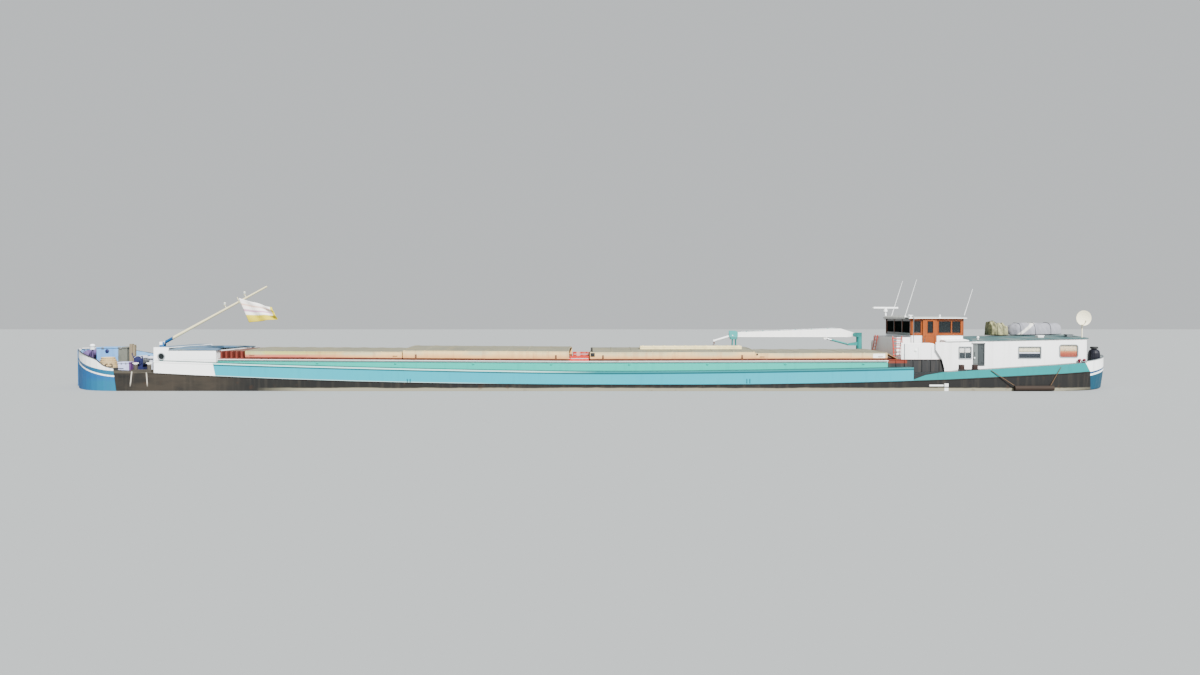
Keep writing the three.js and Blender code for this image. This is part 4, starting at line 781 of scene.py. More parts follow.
wheelhouse = {
    "half": 1.0, "fore": -7.48, "aft": -8.695, "wall": 0.025, "low": 2.405, "high": 2.685, "bead": 0.016,
    "sill": (2.352, 2.382), "roofEdge": 2.7525, "roofTop": 2.795, "roofDrop": 0.036, "roofHalf": 1.06,
    "sideWindows": [(-7.715, -7.54), (-8.415, -8.125), (-8.64, -8.435)],
    "endWindows": [(-0.93, -0.345), (-0.305, 0.305), (0.345, 0.93)],
}
cabin = {
    "half": 1.35, "aft": -11.42,
    "sideWindows": [(-8.765, -8.485, 1.822, 2.091), (-10.365, -9.855, 1.829, 2.091),
                    (-11.215, -10.8, 1.852, 2.137)],
    "endWindows": [(-0.86, -0.34, 1.89, 2.14), (0.34, 0.86, 1.89, 2.14)],
}


def wheelhouseWindows():
    # panes in the walls, the front ones nearly black as painted shade, and a bead round each opening
    w = wheelhouse
    panes, front, beads = [], [], []
    height = (w["low"], w["high"])
    for side in sides:
        for x0, x1 in w["sideWindows"]:
            panes.append(pane(1, side * (w["half"] - w["wall"] / 2), x0, x1, *height))
            # thin where the sliding door passes
            depth = 0.003 if x0 > -8.0 else 0.007
            beads.append(frameRound(1, side * w["half"], side, x0, x1, *height, w["bead"], depth))
    for x, way in ((w["fore"], 1), (w["aft"], -1)):
        for y0, y1 in w["endWindows"]:
            (front if way > 0 else panes).append(pane(0, x - way * w["wall"] / 2, y0, y1, *height))
            beads.append(frameRound(0, x, way, y0, y1, *height, w["bead"], 0.007))
    piece("wheelhouse_panes", panes, "glass")
    piece("wheelhouse_front_panes", front, "darkGlass")
    piece("wheelhouse_beads", beads, "beadWood")


def wheelhouseTrim():
    # sill board, corner posts, board under the roof, and the pale edge of the roof
    w = wheelhouse
    trim = []
    low, high = w["sill"]
    for side in sides:
        y = side * w["half"]
        for x0, x1, out in ((-7.742, -7.47, 0.003), (-8.705, -8.09, 0.014)):
            trim.append(roundBox((x0, y, low), (x1, y + side * out, high), 0.001, 1))
            trim.append(roundBox((x0, y, 2.7), (x1, y + side * min(out, 0.006), 2.738), 0.001, 1))
        for x in (w["fore"], w["aft"]):
            trim.append(roundBox((x - 0.016, y - 0.016 * side, 2.348), (x + 0.016, y + 0.003 * side, 2.742),
                                 0.002, 2))
    for x, way in ((w["fore"], 1), (w["aft"], -1)):
        trim.append(roundBox((x, -0.99, low), (x + way * 0.014, 0.99, high), 0.004, 1))
        for y in (-0.325, 0.325):
            trim.append(roundBox((x, y - 0.014, 2.385), (x + way * 0.01, y + 0.014, 2.74), 0.004, 1))
    piece("wheelhouse_trim", trim, "beadWood")
    x0, x1, y1 = w["aft"] - 0.062, w["fore"] + 0.062, w["half"] + 0.062
    path = line([x0, x1, x1, x0], [-y1, -y1, y1, y1], w["roofEdge"])
    profile = [(-0.001, -0.008), (0.006, -0.008), (0.008, 0), (0.006, 0.009), (-0.001, 0.009)]
    piece("wheelhouse_roof_edge", [carried(profile, path, loop=True)], "roofEdge")


slidingDoor = {
    "face": 1.03, "pane": 1.018, "window": (-7.99, -7.855), "panels": (-8.02, -7.80),
    "panelHeights": [(1.9, 2.09), (2.13, 2.34)], "grip": -7.79,
}


def slidingDoorFittings(side):
    # pane, beading, panel mouldings, grab handle and kick plate of one sliding door
    d, end = slidingDoor, sides[side]
    body = "door_" + end
    y = side * d["face"]
    window = (*d["window"], wheelhouse["low"], wheelhouse["high"])
    piece("door_pane_" + end, [pane(1, side * d["pane"], *window)], "glass", body)
    wood = [frameRound(1, y, side, *window, 0.014, 0.006)]
    for heights in d["panelHeights"]:
        wood.append(frameRound(1, y, side, *d["panels"], *heights, 0.012, 0.005))
    piece("door_mouldings_" + end, wood, "beadWood", body)
    grip = line(d["grip"], y + side * np.array([0, 0.016, 0.016, 0]), [2.16, 2.17, 2.27, 2.28])
    metal = [rod(grip, 0.005, 8), roundBox((-8.06, y, 1.838), (-7.765, y + side * 0.003, 1.885), 0.001, 1)]
    piece("door_grip_" + end, metal, "steel", body)


def cabinWindows():
    # the cabin's panes and frames, with a bar up the middle of the foremost side window
    panes, frames = [], []
    half, x = cabin["half"], cabin["aft"]
    for side in sides:
        for k, window in enumerate(cabin["sideWindows"]):
            panes.append(pane(1, side * (half - 0.008), *window))
            frames.append(frameRound(1, side * half, side, *window, 0.022, 0.008, 0.05 if k == 2 else 0.014))
            if k == 0:
                middle = (window[0] + window[1]) / 2
                frames.append(roundBox((middle - 0.007, side * half - 0.006, window[2]),
                                       (middle + 0.007, side * half + 0.004, window[3]), 0.002, 1))
    for window in cabin["endWindows"]:
        panes.append(pane(0, x + 0.009, *window))
        frames.append(frameRound(0, x, -1, *window, 0.022, 0.008))
    piece("cabin_panes", panes, "cabinGlass")
    piece("cabin_window_frames", frames, "frameGrey")


porthole = {"x": 9.9, "z": 1.87, "rim": 1.3, "pane": 1.294}


def portholes():
    # a turned rim with its glass, each side of the fore house
    x, z = porthole["x"], porthole["z"]
    rim = [(0.064, 0.0), (0.088, 0.0), (0.09, 0.008), (0.082, 0.013), (0.07, 0.012), (0.064, 0.004)]
    disc = [(0.001, -0.002), (0.068, -0.002), (0.068, 0.002), (0.001, 0.002)]
    rims = [turned(rim, (x, side * porthole["rim"], z), 1, 28, side, loop=True) for side in sides]
    panes = [turned(disc, (x, side * porthole["pane"], z), 1, 28) for side in sides]
    piece("porthole_rims", rims, "frameGrey")
    piece("porthole_panes", panes, "glass")


curtains = [
    # window, foot and top as shares of its height, folds, colours from the foot to the top
    (0, 0.5, 1.0, 9, [(0.0, "#fffaf0"), (1.0, "#ffffff")]),
    (0, 0.02, 0.5, 7, [(0.0, "#16191d"), (1.0, "#262b30")]),
    (1, 0.56, 1.0, 16, [(0.0, "#cfc9a6"), (0.12, "#fff6d2"), (1.0, "#fffae6")]),
    (1, 0.02, 0.55, 20, [(0.0, "#0b0b1c"), (0.72, "#15152c"), (0.8, "#eff0fa"), (1.0, "#f6f6ff")]),
    (2, 0.5, 1.0, 13, [(0.0, "#f3d9ae"), (1.0, "#fff0d4")]),
    (2, 0.02, 0.5, 12, [(0.0, "#a83a1c"), (0.7, "#c65a2c"), (1.0, "#e59a62")]),
]


def hangCurtain(k, side):
    # width in x, drop in z, and folds as a sine across it that deepens towards the foot
    window, foot, top, folds, stops = curtains[k]
    x0, x1, z0, z1 = cabin["sideWindows"][window]
    low, high = z0 + (z1 - z0) * foot, z0 + (z1 - z0) * top
    across = np.linspace(0, 1, folds * 8 + 1)[:, None]
    down = np.linspace(0, 1, 9)[None, :]
    wave = np.sin(2 * math.pi * folds * across) * (0.004 + 0.003 * (1 - down))
    y = side * (cabin["half"] - 0.022) + wave
    grid = line(x0 + 0.012 + (x1 - x0 - 0.024) * across, y, low + (high - low) * down)
    name = "curtain_%d_%s" % (k, sides[side])
    made = sheetPiece(name, grid, clothPaint(name + "_cloth", stops, 400.0, 0.08), 0.0015,
                      cut=np.stack(np.broadcast_arrays(across, down), axis=2))


wheelhouseWindows()
wheelhouseTrim()
slidingDoorFittings(1)
slidingDoorFittings(-1)
cabinWindows()
portholes()
for k in range(len(curtains)):
    hangCurtain(k, 1)
    hangCurtain(k, -1)
print("windows and curtains done")

# Soft goods on the cabin roof, the flag and the rope

flagCut = {
    "top": [(8.55, 3.235), (7.74, 3.008)], "foot": [(8.305, 2.643), (7.595, 2.728)],
    "out": 0.085, "wave": 0.03,
    "stops": [(0.0, "#bda908"), (0.30, "#cfbf1c"), (0.34, "#fbf8f2"), (0.44, "#fbf8f2"), (0.48, "#c79bb0"),
              (0.54, "#c79bb0"), (0.58, "#fbf7f1"), (0.7, "#f9eee4"), (0.76, "#dfae96"), (0.82, "#f9f2ea"),
              (1.0, "#fbf8f4")],
}


def flyFlag():
    # straight lines between the head and foot edges, with waves that grow away from the hoist
    f = flagCut
    u = np.linspace(0, 1, 61)[:, None]
    v = np.linspace(0, 1, 41)[None, :]
    head, foot = [np.array(a) + u[..., None] * (np.array(b) - a) for a, b in (f["top"], f["foot"])]
    flat = foot + v[..., None] * (head - foot)
    sway = f["wave"] * u ** 0.7 * np.sin(2 * math.pi * (1.9 * u + 0.45 * v) + 0.6)
    sway = sway + 0.012 * u * np.sin(2 * math.pi * (0.6 * u + 2.1 * v))
    sag = 0.012 * np.sin(2 * math.pi * (1.9 * u + 0.2 * v))
    grid = line(flat[..., 0], f["out"] - 0.028 * (1 - u) + sway, flat[..., 1] + sag * u)
    made = sheetPiece("flag_cloth", grid, clothPaint("flag_cloth", f["stops"], 700.0, 0.12, "#c9b81c"), 0.002,
                      "mast", np.stack(np.broadcast_arrays(u, v), axis=2))
    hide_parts("flag")


heaps = {
    # sections as x, half width, low and crown; straps as rows of the cover's grid
    "dinghy": {
        "sections": [(-10.09, 0.09, 0.06, 0.14), (-10.15, 0.19, 0.02, 0.23), (-10.27, 0.29, 0.0, 0.30),
                     (-10.42, 0.325, 0.0, 0.322), (-10.9, 0.325, 0.0, 0.305), (-11.24, 0.305, 0.0, 0.30),
                     (-11.315, 0.285, 0.01, 0.285)],
        "wrinkle": 0.006, "paint": "greyCover", "slot": "grey_canvas", "straps": (16, 38, 58),
    },
    "roof_bundle": {
        "sections": [(-9.64, 0.13, 0.02, 0.25), (-9.68, 0.23, 0.0, 0.362), (-9.76, 0.28, 0.0, 0.365),
                     (-9.88, 0.29, 0.0, 0.322), (-9.99, 0.27, 0.0, 0.312), (-10.07, 0.20, 0.01, 0.26)],
        "wrinkle": 0.018, "paint": "oliveCover", "slot": "olive_canvas", "straps": (22, 48),
    },
}


def coverHeap(node, heap):
    # sections of a flattened oval along the roof, with hanging wrinkles, drawn in at both ends
    table = np.array(heap["sections"])[::-1]
    x = table[0, 0] + (table[-1, 0] - table[0, 0]) * np.linspace(0, 1, 73)[:, None]
    half, low, crown = [np.interp(x, table[:, 0], table[:, k]) for k in (1, 2, 3)]
    turn = np.linspace(0, math.pi, 61)[None, :]
    cosine, sine = np.cos(turn), np.sin(turn)
    floor = cabinRoofLow(x) + 0.055
    wave = np.sin(x * 41 + 3.1 * np.sin(turn * 2)) * np.sin(x * 17 + turn * 3)
    wave = wave * heap["wrinkle"] * (0.35 + sine)
    y = -(half + wave) * np.sign(cosine) * np.abs(cosine) ** 0.6
    z = floor + low + (crown - low) * (0.02 + 0.98 * sine ** 0.6) + wave * sine
    roof = floor - 0.02 + 0.075 * (1 - (np.abs(y) / cabinRoofHalf) ** 2) * 0.68
    grid = line(x, y, np.maximum(z, roof + 0.004))
    ends = []
    for rim, out in ((grid[0], -0.012), (grid[-1], 0.012)):
        ends.append(line(rim[:, 0] + out, rim[:, 1] * 0.96, rim[:, 2].min())[None])
    grid = np.concatenate([ends[0], grid, ends[1]])
    made = sheetPiece(node + "_cover", grid, heap["paint"], 0.003)
    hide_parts(node)
    return grid


def heapStraps(node, grid):
    # a flat strip carried over the cover along some rows of its grid
    straps = []
    section = [(-0.009, 0), (0.009, 0), (0.009, 0.003), (-0.009, 0.003)]
    for row in heaps[node]["straps"]:
        strap = (grid[row] + (0, 0, 0.004)) * (1, 1.012, 1)
        straps.append(carried(section, strap[::2], (1, 0, 0)))
    piece(node + "_straps", straps, "strap")


ropeFacts = {"centre": (11.25, 1.04), "diameter": 0.024, "inner": 0.125, "pitch": 0.0246,
             "turns": (5, 5, 4, 4, 4, 4, 3, 3, 2, 2), "perTurn": 36}


def coilRope():
    # flat spirals, outward and inward in turn, each a rope's thickness above the last, with fewer turns
    # higher up
    r = ropeFacts
    base = lowSheer(r["centre"][0]) + 0.0155
    points = []
    angle = 0.0
    climb = r["perTurn"] // 3
    layers = len(r["turns"])
    for layer, turns in enumerate(r["turns"]):
        count = r["perTurn"] * turns
        steps = np.arange(count)
        share = steps / count
        radius = r["inner"] + r["pitch"] * (turns - 1) * (share if layer % 2 == 0 else 1 - share)
        turn = angle + steps * 2 * math.pi / r["perTurn"]
        rise = np.clip((steps - (count - climb)) / climb, 0, 1)
        z = base + r["pitch"] * (layer + (rise * rise * (3 - 2 * rise) if layer + 1 < layers else 0 * rise))
        points.append(line(r["centre"][0] + radius * np.cos(turn), r["centre"][1] + radius * np.sin(turn), z))
        angle = turn[-1] + 2 * math.pi / r["perTurn"]
    path = np.concatenate(points)
    half = r["diameter"] / 2
    made = piece("rope_coil_turns", [carried(oval(half, half, 8), path)], "rope")
    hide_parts("rope_coil")


flyFlag()
heapGrids = {node: coverHeap(node, heap) for node, heap in heaps.items()}
for node, grid in heapGrids.items():
    heapStraps(node, grid)
coilRope()
print("soft goods done")

# Fittings of the rolling covers

covers = {
    "hatch_fore_lower": {"body": "cover_fore_lower", "fore": 7.965, "aft": 4.345, "half": 1.3,
                         "edge": 0.188, "crown": 0.225, "ribs": 9, "seams": (6.9, 5.6)},
    "hatch_fore_upper": {"body": "cover_fore_upper", "fore": 4.32, "aft": 0.495, "half": 1.335,
                         "edge": 0.218, "crown": 0.288, "ribs": 9, "seams": (3.5, 2.74, 1.3)},
    "hatch_aft_upper": {"body": "cover_aft_upper", "fore": 0.01, "aft": -3.795, "half": 1.335,
                        "edge": 0.202, "crown": 0.266, "ribs": 9, "seams": (-0.95, -1.9, -2.85)},
    "hatch_aft_lower": {"body": "cover_aft_lower", "fore": -3.8, "aft": -6.85, "half": 1.3,
                        "edge": 0.172, "crown": 0.195, "ribs": 7, "seams": (-4.8, -5.75)},
}
plankSpan = {"fore": -1.15, "aft": -3.59, "low": 0.42, "high": 0.71}


def coverLow(c, x):
    # the straight line that the cover runs along
    fore, aft = coamingTop(c["fore"]), coamingTop(c["aft"])
    return aft + (fore - aft) * (x - c["aft"]) / (c["fore"] - c["aft"])


def coverTop(c, x, y):
    # a parabola from the crown down to the edges
    return coverLow(c, x) + c["crown"] - (c["crown"] - c["edge"]) * (y / c["half"]) ** 2


def sideRail(c, side, height, radius, inset=0.0):
    # a half round along the skirt
    x = np.linspace(c["aft"] + inset, c["fore"] - inset, 3)
    path = line(x, side * (c["half"] - 0.001), coverLow(c, x) + height)
    return carried(halfRound(radius * 1.6, radius), path, (0, side, 0))


def upperTabs(c, x, y, side):
    # a tab with its two pins
    low = coverLow(c, x) + 0.052
    tab = roundBox((x - 0.02, y - side * 0.002, low), (x + 0.02, y + side * 0.01, low + 0.085), 0.004, 2)
    return [tab] + [rod([(x, y, low + up), (x, y + side * 0.016, low + up)], 0.008) for up in (0.018, 0.066)]


def lowerGrip(c, x, y, side):
    # a bent handle on the skirt
    low = coverLow(c, x) + 0.09
    grip = line(x + np.array([-0.05, -0.05, 0.05, 0.05]), y + side * np.array([0, 0.016, 0.016, 0]),
                low + np.array([0, 0.004, 0.004, 0]))
    return [rod(grip, 0.004, 8)]


def coverFittings(node, c):
    # half round ribs over the crown, a rail along the head and foot of each skirt, its seams and handles
    tops, feet, tabs, plugs = [], [], [], []
    half, upper = c["half"], "upper" in node
    for x in np.linspace(c["fore"] - 0.03, c["aft"] + 0.03, c["ribs"]):
        spans = [(-half, half)]
        if node == "hatch_aft_upper" and plankSpan["aft"] < x < plankSpan["fore"]:
            spans = [(-half, plankSpan["low"]), (plankSpan["high"], half)]
        for y0, y1 in spans:
            y = np.linspace(y0, y1, 17)
            tops.append(carried(halfRound(0.017, 0.008), line(x, y, coverTop(c, x, y) - 0.001)))
    for side in sides:
        y = side * half
        tops.append(sideRail(c, side, c["edge"] - 0.012, 0.006))
        feet.append(sideRail(c, side, 0.03, 0.007, 0.002))
        for x in c["seams"]:
            low, high = coverLow(c, x) + 0.04, coverLow(c, x) + c["edge"] - 0.02
            tops.append(roundBox((x - 0.011, y - side * 0.002, low), (x + 0.011, y + side * 0.004, high),
                                 0.002, 1))
        inset = 0.3 if upper else 0.16
        for x in (c["fore"] - inset, c["aft"] + inset):
            tabs += (upperTabs if upper else lowerGrip)(c, x, y, side)
        if node == "hatch_aft_lower":
            plug = [(0.0, -0.002), (0.022, -0.002), (0.023, 0.006), (0.017, 0.011), (0.0, 0.012)]
            plugs.append(turned(plug, (-3.845, y, coverLow(c, -3.845) + 0.145), 1, way=side))
    if node == "hatch_aft_upper":
        # post at the fore end with its catch box on the skirt
        top = float(coverTop(c, -0.03, 1.25))
        plugs.append(roundBox((-0.05, 1.232, top - 0.004), (-0.012, 1.268, top + 0.1), 0.006, 2))
        plugs.append(roundBox((-0.1, 1.333, top - 0.105), (-0.006, 1.347, top - 0.02), 0.004, 2))
    piece(node + "_ribs", tops, node, c["body"])
    piece(node + "_foot_rail", feet, "footRail", c["body"])
    piece(node + "_tabs", tabs, "tab", c["body"])
    if plugs:
        piece(node + "_plugs", plugs, "black", c["body"])


def plankCleats():
    # battens across the gangplank and a rounded edge board each side
    c = covers["hatch_aft_upper"]
    battens = []
    for x in np.linspace(-3.5, -1.24, 10):
        top = float(coverTop(c, x, 0.43)) + 0.062
        battens.append(roundBox((x - 0.013, 0.445, top - 0.002), (x + 0.013, 0.685, top + 0.01), 0.003, 2))
    x = np.linspace(-3.572, -1.168, 3)
    edge = [(-0.003, -0.014), (0.003, -0.014), (0.003, 0.014), (-0.003, 0.014)]
    for y in (0.4295, 0.7005):
        battens.append(carried(edge, line(x, y, coverTop(c, x, 0.43) + 0.045)))
    piece("gangplank_cleats", battens, "plank", "cover_aft_upper")


for node, c in covers.items():
    coverFittings(node, c)
plankCleats()
print("cover fittings done")

# Deck crane

crane = {
    "y": -1.475, "pivot": (-6.78, 2.32), "head": (-3.70, 2.378), "high": (-6.42, 2.475), "low": 2.255,
    "tip": (-3.17, 2.16), "column": (-6.91, 1.79), "foot": (-6.64, 2.066), "eye": (-6.03, 2.226),
}


def boomTop(x):
    # a straight line along the boom's upper edge
    (x0, z0), (x1, z1) = crane["high"], crane["head"]
    return z0 + (z1 - z0) * (x - x0) / (x1 - x0)


def boomPipes():
    # two rigid pipes under clamps along the boom's upper edge, a flange strip and the pin's end caps
    y, low = crane["y"], crane["low"]
    x = np.linspace(-6.3, -3.86, 12)
    pipes = [rod(line(x, y + offset, boomTop(x) + 0.014), 0.0065) for offset in (-0.016, 0.016)]
    clamps, white = [], []
    for x in np.linspace(-6.1, -4.0, 6):
        z = float(boomTop(x))
        clamps.append(roundBox((x - 0.012, y - 0.03, z - 0.002), (x + 0.012, y + 0.03, z + 0.022), 0.004, 2))
    cap = [(0.0, 0.0), (0.022, 0.0), (0.024, 0.006), (0.014, 0.010), (0.0, 0.011)]
    for side in sides:
        white.append(roundBox((-6.58, y + side * 0.047, low + 0.002), (-3.78, y + side * 0.054, low + 0.014),
                              0.002, 1))
        clamps.append(turned(cap, (crane["pivot"][0], y + side * 0.066, crane["pivot"][1]), 1, way=side))
    piece("crane_boom_pipes", pipes, "steel", "boom")
    piece("crane_boom_clamps", clamps, "tealGear", "boom")
    piece("crane_boom_edge", white, "boom", "boom")


def jibHook():
    # swivel block, shank and an open hook turned back on itself
    x, z = crane["tip"]
    y = crane["y"]
    angle = np.linspace(math.radians(100), math.radians(-170), 22)
    bend = line(x + 0.004 + 0.026 * np.cos(angle), y, z - 0.108 + 0.026 * np.sin(angle))
    path = np.concatenate([line(x + 0.002, y, [z - 0.02, z - 0.07]), bend])
    taper = np.concatenate([[1, 1], np.linspace(1.0, 0.45, 22)])
    hook = carried(oval(0.0085, 0.0085, 10), path, (0, 1, 0), scale=taper)
    swivel = [(0.0, -0.026), (0.014, -0.026), (0.018, -0.012), (0.018, 0.012), (0.012, 0.022), (0.0, 0.022)]
    piece("crane_jib_hook", [hook, turned(swivel, (x + 0.002, y, z - 0.045), 2, 16)], "tab", "jib")


def cylinderFittings():
    # gland ring where the rod leaves the barrel, and two hose unions
    (x0, z0), (x1, z1) = crane["foot"], crane["eye"]
    way = unit(np.array([x1 - x0, 0, z1 - z0]))
    start = np.array([x0, crane["y"], z0])
    upward = np.array([-way[2], 0, way[0]])
    ring = []
    for distance, radius, length in ((0.462, 0.030, 0.018), (0.02, 0.029, 0.02)):
        ring.append(rod([start + way * distance, start + way * (distance + length)], radius, 20))
    for distance in (0.05, 0.43):
        foot = start + way * distance + upward * 0.022
        ring.append(rod([foot, foot + upward * 0.016], 0.008))
    piece("crane_cylinder_gland", ring, "steel", "cylinder")


def pedestalBolts():
    # bolt heads round the slewing ring's lower flange and on the foot plate
    x, z = crane["column"]
    heads = []
    for dx, dy in oval(0.088, 0.088, 12):
        heads.append(rod(line(x + dx, crane["y"] + dy, [z - 0.034, z - 0.024]), 0.006, 6))
    for dx in (-0.11, 0.11):
        for dy in (-0.11, 0.11):
            heads.append(rod(line(x + dx, crane["y"] + dy, [1.649, 1.662]), 0.009, 6))
    piece("crane_pedestal_bolts", heads, "steel")


boomPipes()
jibHook()
cylinderFittings()
pedestalBolts()
print("crane fittings done")

# Hull and decks


def hullMouldings():
    # half rounds along the low sheer, following the deck's outline on both sides
    x = np.concatenate([np.linspace(10.3, -10.6, 80), np.linspace(-10.7, -11.35, 12)])
    parts = []
    for side in sides:
        path = line(x, side * (deckHalf(x) - 0.001), lowSheer(x) - 0.012)
        parts.append(carried(halfRound(0.011, 0.009), path, (0, side, 0)))
    piece("sheer_moulding", parts, "hull")


def coamingEyes():
    # lashing eyes welded under the coaming's rail, each on its plate
    parts = []
    along = np.array([-0.02, -0.018, 0, 0.018, 0.02])
    out = np.array([0, 0.018, 0.026, 0.018, 0])
    hang = np.array([0, 0.004, 0.006, 0.004, 0])
    for side in sides:
        y = side * 1.305
        for x in np.linspace(8.1, -6.3, 9):
            z = float(coamingTop(x)) - 0.075
            parts.append(rod(line(x + along, y + side * out, z - hang), 0.004, 8))
            plate = (x - 0.03, y - side * 0.001, z - 0.012), (x + 0.03, y + side * 0.004, z + 0.012)
            parts.append(roundBox(*plate, 0.002, 1))
    piece("coaming_eyes", parts, "coaming")


def boards():
    # a slanted tan board that leans on the after end of the coaming; a board on edge along each coaming
    # rail between the upper covers, with a pale strip let in
    section = np.array([(-6.872, 1.925), (-7.10, 1.807), (-7.106, 1.816), (-6.878, 1.935)])
    leaning = np.stack([onWall(1, y, *section.T) for y in (0.86, 1.26)])
    piece("coaming_end_board", [ringSurface(leaning)], "board")
    aft, low = covers["hatch_aft_upper"]["fore"], coamingTop(0.25)
    red, strips = [], []
    for side in sides:
        y = side * 1.276
        red.append(roundBox((aft + 0.02, y - 0.006, low), (0.475, y + 0.006, low + 0.118), 0.003, 1))
        strip = (aft + 0.04, y - 0.008, low + 0.05), (0.455, y + 0.008, low + 0.064)
        strips.append(roundBox(*strip, 0.002, 1))
    piece("gap_boards", red, "ladder")
    piece("gap_board_strips", strips, "lid")


hullMouldings()
coamingEyes()
boards()
print("hull fittings done")

# Foredeck


def bulwarkTop(x):
    # straight between places along the bow and their heights
    table = np.array([(10.4, 1.606), (10.78, 1.612), (10.905, 1.623), (11.08, 1.667), (11.3, 1.82),
                      (11.64, 1.905), (12.02, 1.985), (12.48, 1.985)])
    return np.interp(x, table[:, 0], table[:, 1])


def bulwarkCapping():
    # a half oval bar on the bulwark's upper edge; white rail lengths inside the stem
    x = 10.62 + 1.84 * np.sin(np.linspace(0, math.pi / 2, 48))
    inside = np.linspace(12.0, 12.42, 12)
    dark, white = [], []
    for side in sides:
        dark.append(carried(capping(0.013), line(x, side * (deckHalf(x) - 0.011), bulwarkTop(x))))
        rail = line(inside, side * (deckHalf(inside) - 0.07), 2.012)
        white.append(rod(rail, 0.009))
        for foot in rail[[1, 6, 10]]:
            white.append(rod([foot + (0, side * 0.045, -0.05), foot], 0.006, 8))
    piece("bulwark_capping", dark, "capping")
    piece("bow_rails", white, "jib")


def fairleads():
    # two horns on a base, at each shoulder of the bow
    parts = []
    x = 10.98
    top = float(bulwarkTop(x))
    for side in sides:
        y = side * (float(deckHalf(x)) - 0.05)
        base = (x - 0.09, y - 0.022, top - 0.004), (x + 0.09, y + 0.022, top + 0.018)
        parts.append(roundBox(*base, 0.006, 2))
        for way in (1, -1):
            horn = line(x + way * np.array([0.072, 0.078, 0.055, 0.022]), y,
                        top + np.array([0.01, 0.05, 0.068, 0.066]))
            parts.append(rod(horn, 0.013, 12, scale=[1.0, 1.0, 0.9, 0.6]))
    piece("fairleads", parts, "capping")


def lockerFittings():
    # round vent on the locker's face, hinges under its lid and hasps on the chest
    disc = [(0.0, -0.002), (0.044, -0.002), (0.046, 0.01), (0.03, 0.018), (0.0, 0.02)]
    piece("locker_vent", [turned(disc, (11.40, 0.782, 1.978), 1, 20)], "navy")
    parts = []
    for x in (11.08, 11.5):
        parts.append(roundBox((x - 0.03, 0.79, 2.03), (x + 0.03, 0.799, 2.066), 0.003, 1))
        parts.append(rod([(x - 0.032, 0.798, 2.04), (x + 0.032, 0.798, 2.04)], 0.006, 8))
    for x in (10.68, 10.78):
        parts.append(roundBox((x - 0.012, 1.388, 1.70), (x + 0.012, 1.398, 1.735), 0.003, 1))
    piece("locker_hinges", parts, "steel")


winch = {"middle": (10.59, 1.745), "cable": 0.098, "turns": 15, "teeth": 24, "gear": 0.088, "tooth": 0.009}


def winchFittings():
    # pale curved cover over the drum, cable turns, a toothed wheel and its brake handle
    x, z = winch["middle"]
    reach, turns, count = winch["cable"], winch["turns"], winch["teeth"] * 4
    angle = np.radians(np.linspace(28, 152, 15))
    arcs = [np.stack([x + r * np.cos(angle), z + 0.02 + r * np.sin(angle)], axis=1) for r in (0.108, 0.1)]
    section = np.concatenate([arcs[0], arcs[1][::-1]])
    lid = ringSurface(np.stack([onWall(1, y, *section.T) for y in (0.55, 0.97)]))
    turn = np.linspace(0, 2 * math.pi * turns, turns * 24)
    cable = line(x + reach * np.cos(turn), 0.605 + 0.31 * turn / turn[-1], z + reach * np.sin(turn))
    teeth = np.arange(count) * 2 * math.pi / count
    reach = winch["gear"] + winch["tooth"] * (np.sin(teeth * winch["teeth"]) > 0)
    gear = np.stack([line(x + reach * np.cos(teeth), y, z + reach * np.sin(teeth)) for y in (0.966, 0.978)])
    handle = rod([(x + 0.06, 0.99, z + 0.03), (x + 0.12, 1.0, z + 0.16), (x + 0.125, 1.0, z + 0.2)], 0.009)
    piece("winch_lid", [lid], "lid")
    piece("winch_cable", [carried(oval(0.006, 0.006, 6), cable, (0, 1, 0))], "steel")
    piece("winch_gear", [ringSurface(gear), handle], "navy")


def foredeckVent():
    # mushroom ventilator: pipe, skirt and cap turned round one axis
    base = float(lowSheer(10.4))
    profile = [(0.0, 0.0), (0.07, 0.0), (0.07, 0.012), (0.045, 0.016), (0.045, 1.80 - base),
               (0.085, 1.806 - base), (0.09, 1.825 - base), (0.07, 1.85 - base), (0.03, 1.864 - base),
               (0.0, 1.866 - base)]
    vent = turned(profile, (10.33, 0.86, base + 0.0006), 2, 24)
    piece("foredeck_vent", [vent], "lid")


mast = {"pin": (10.43, 2.13), "lean": 28.6, "lamps": (1.78, 2.33), "lampOut": 0.095}


def lampLenses():
    # lens and cap of the two mast lamps, and the stem lamp's lens
    (x, z), out = mast["pin"], mast["lampOut"]
    lean = math.radians(mast["lean"])
    lens = [(0.0, 0.012), (0.0285, 0.012), (0.030, 0.03), (0.0285, 0.048), (0.0, 0.048)]
    cap = [(0.0, 0.05), (0.026, 0.05), (0.027, 0.055), (0.016, 0.066), (0.0, 0.068)]
    glass, metal = [], []
    for away in mast["lamps"]:
        spot = (x - away * math.cos(lean) + out * math.sin(lean), 0,
                z + away * math.sin(lean) + out * math.cos(lean))
        glass.append(turned(lens, spot))
        metal.append(turned(cap, spot))
    piece("mast_lamp_lenses", glass, "lens", "mast")
    piece("mast_lamp_caps", metal, "jib", "mast")
    band = [(0.0, 0.055), (0.063, 0.055), (0.0655, 0.07), (0.063, 0.085), (0.0, 0.085)]
    piece("stem_lamp_lens", [turned(band, (11.95, 0.38, 2.0), 2, 20)], "lens")


windlass = {"middle": (12.15, 1.89), "brakeWheel": 0.06}


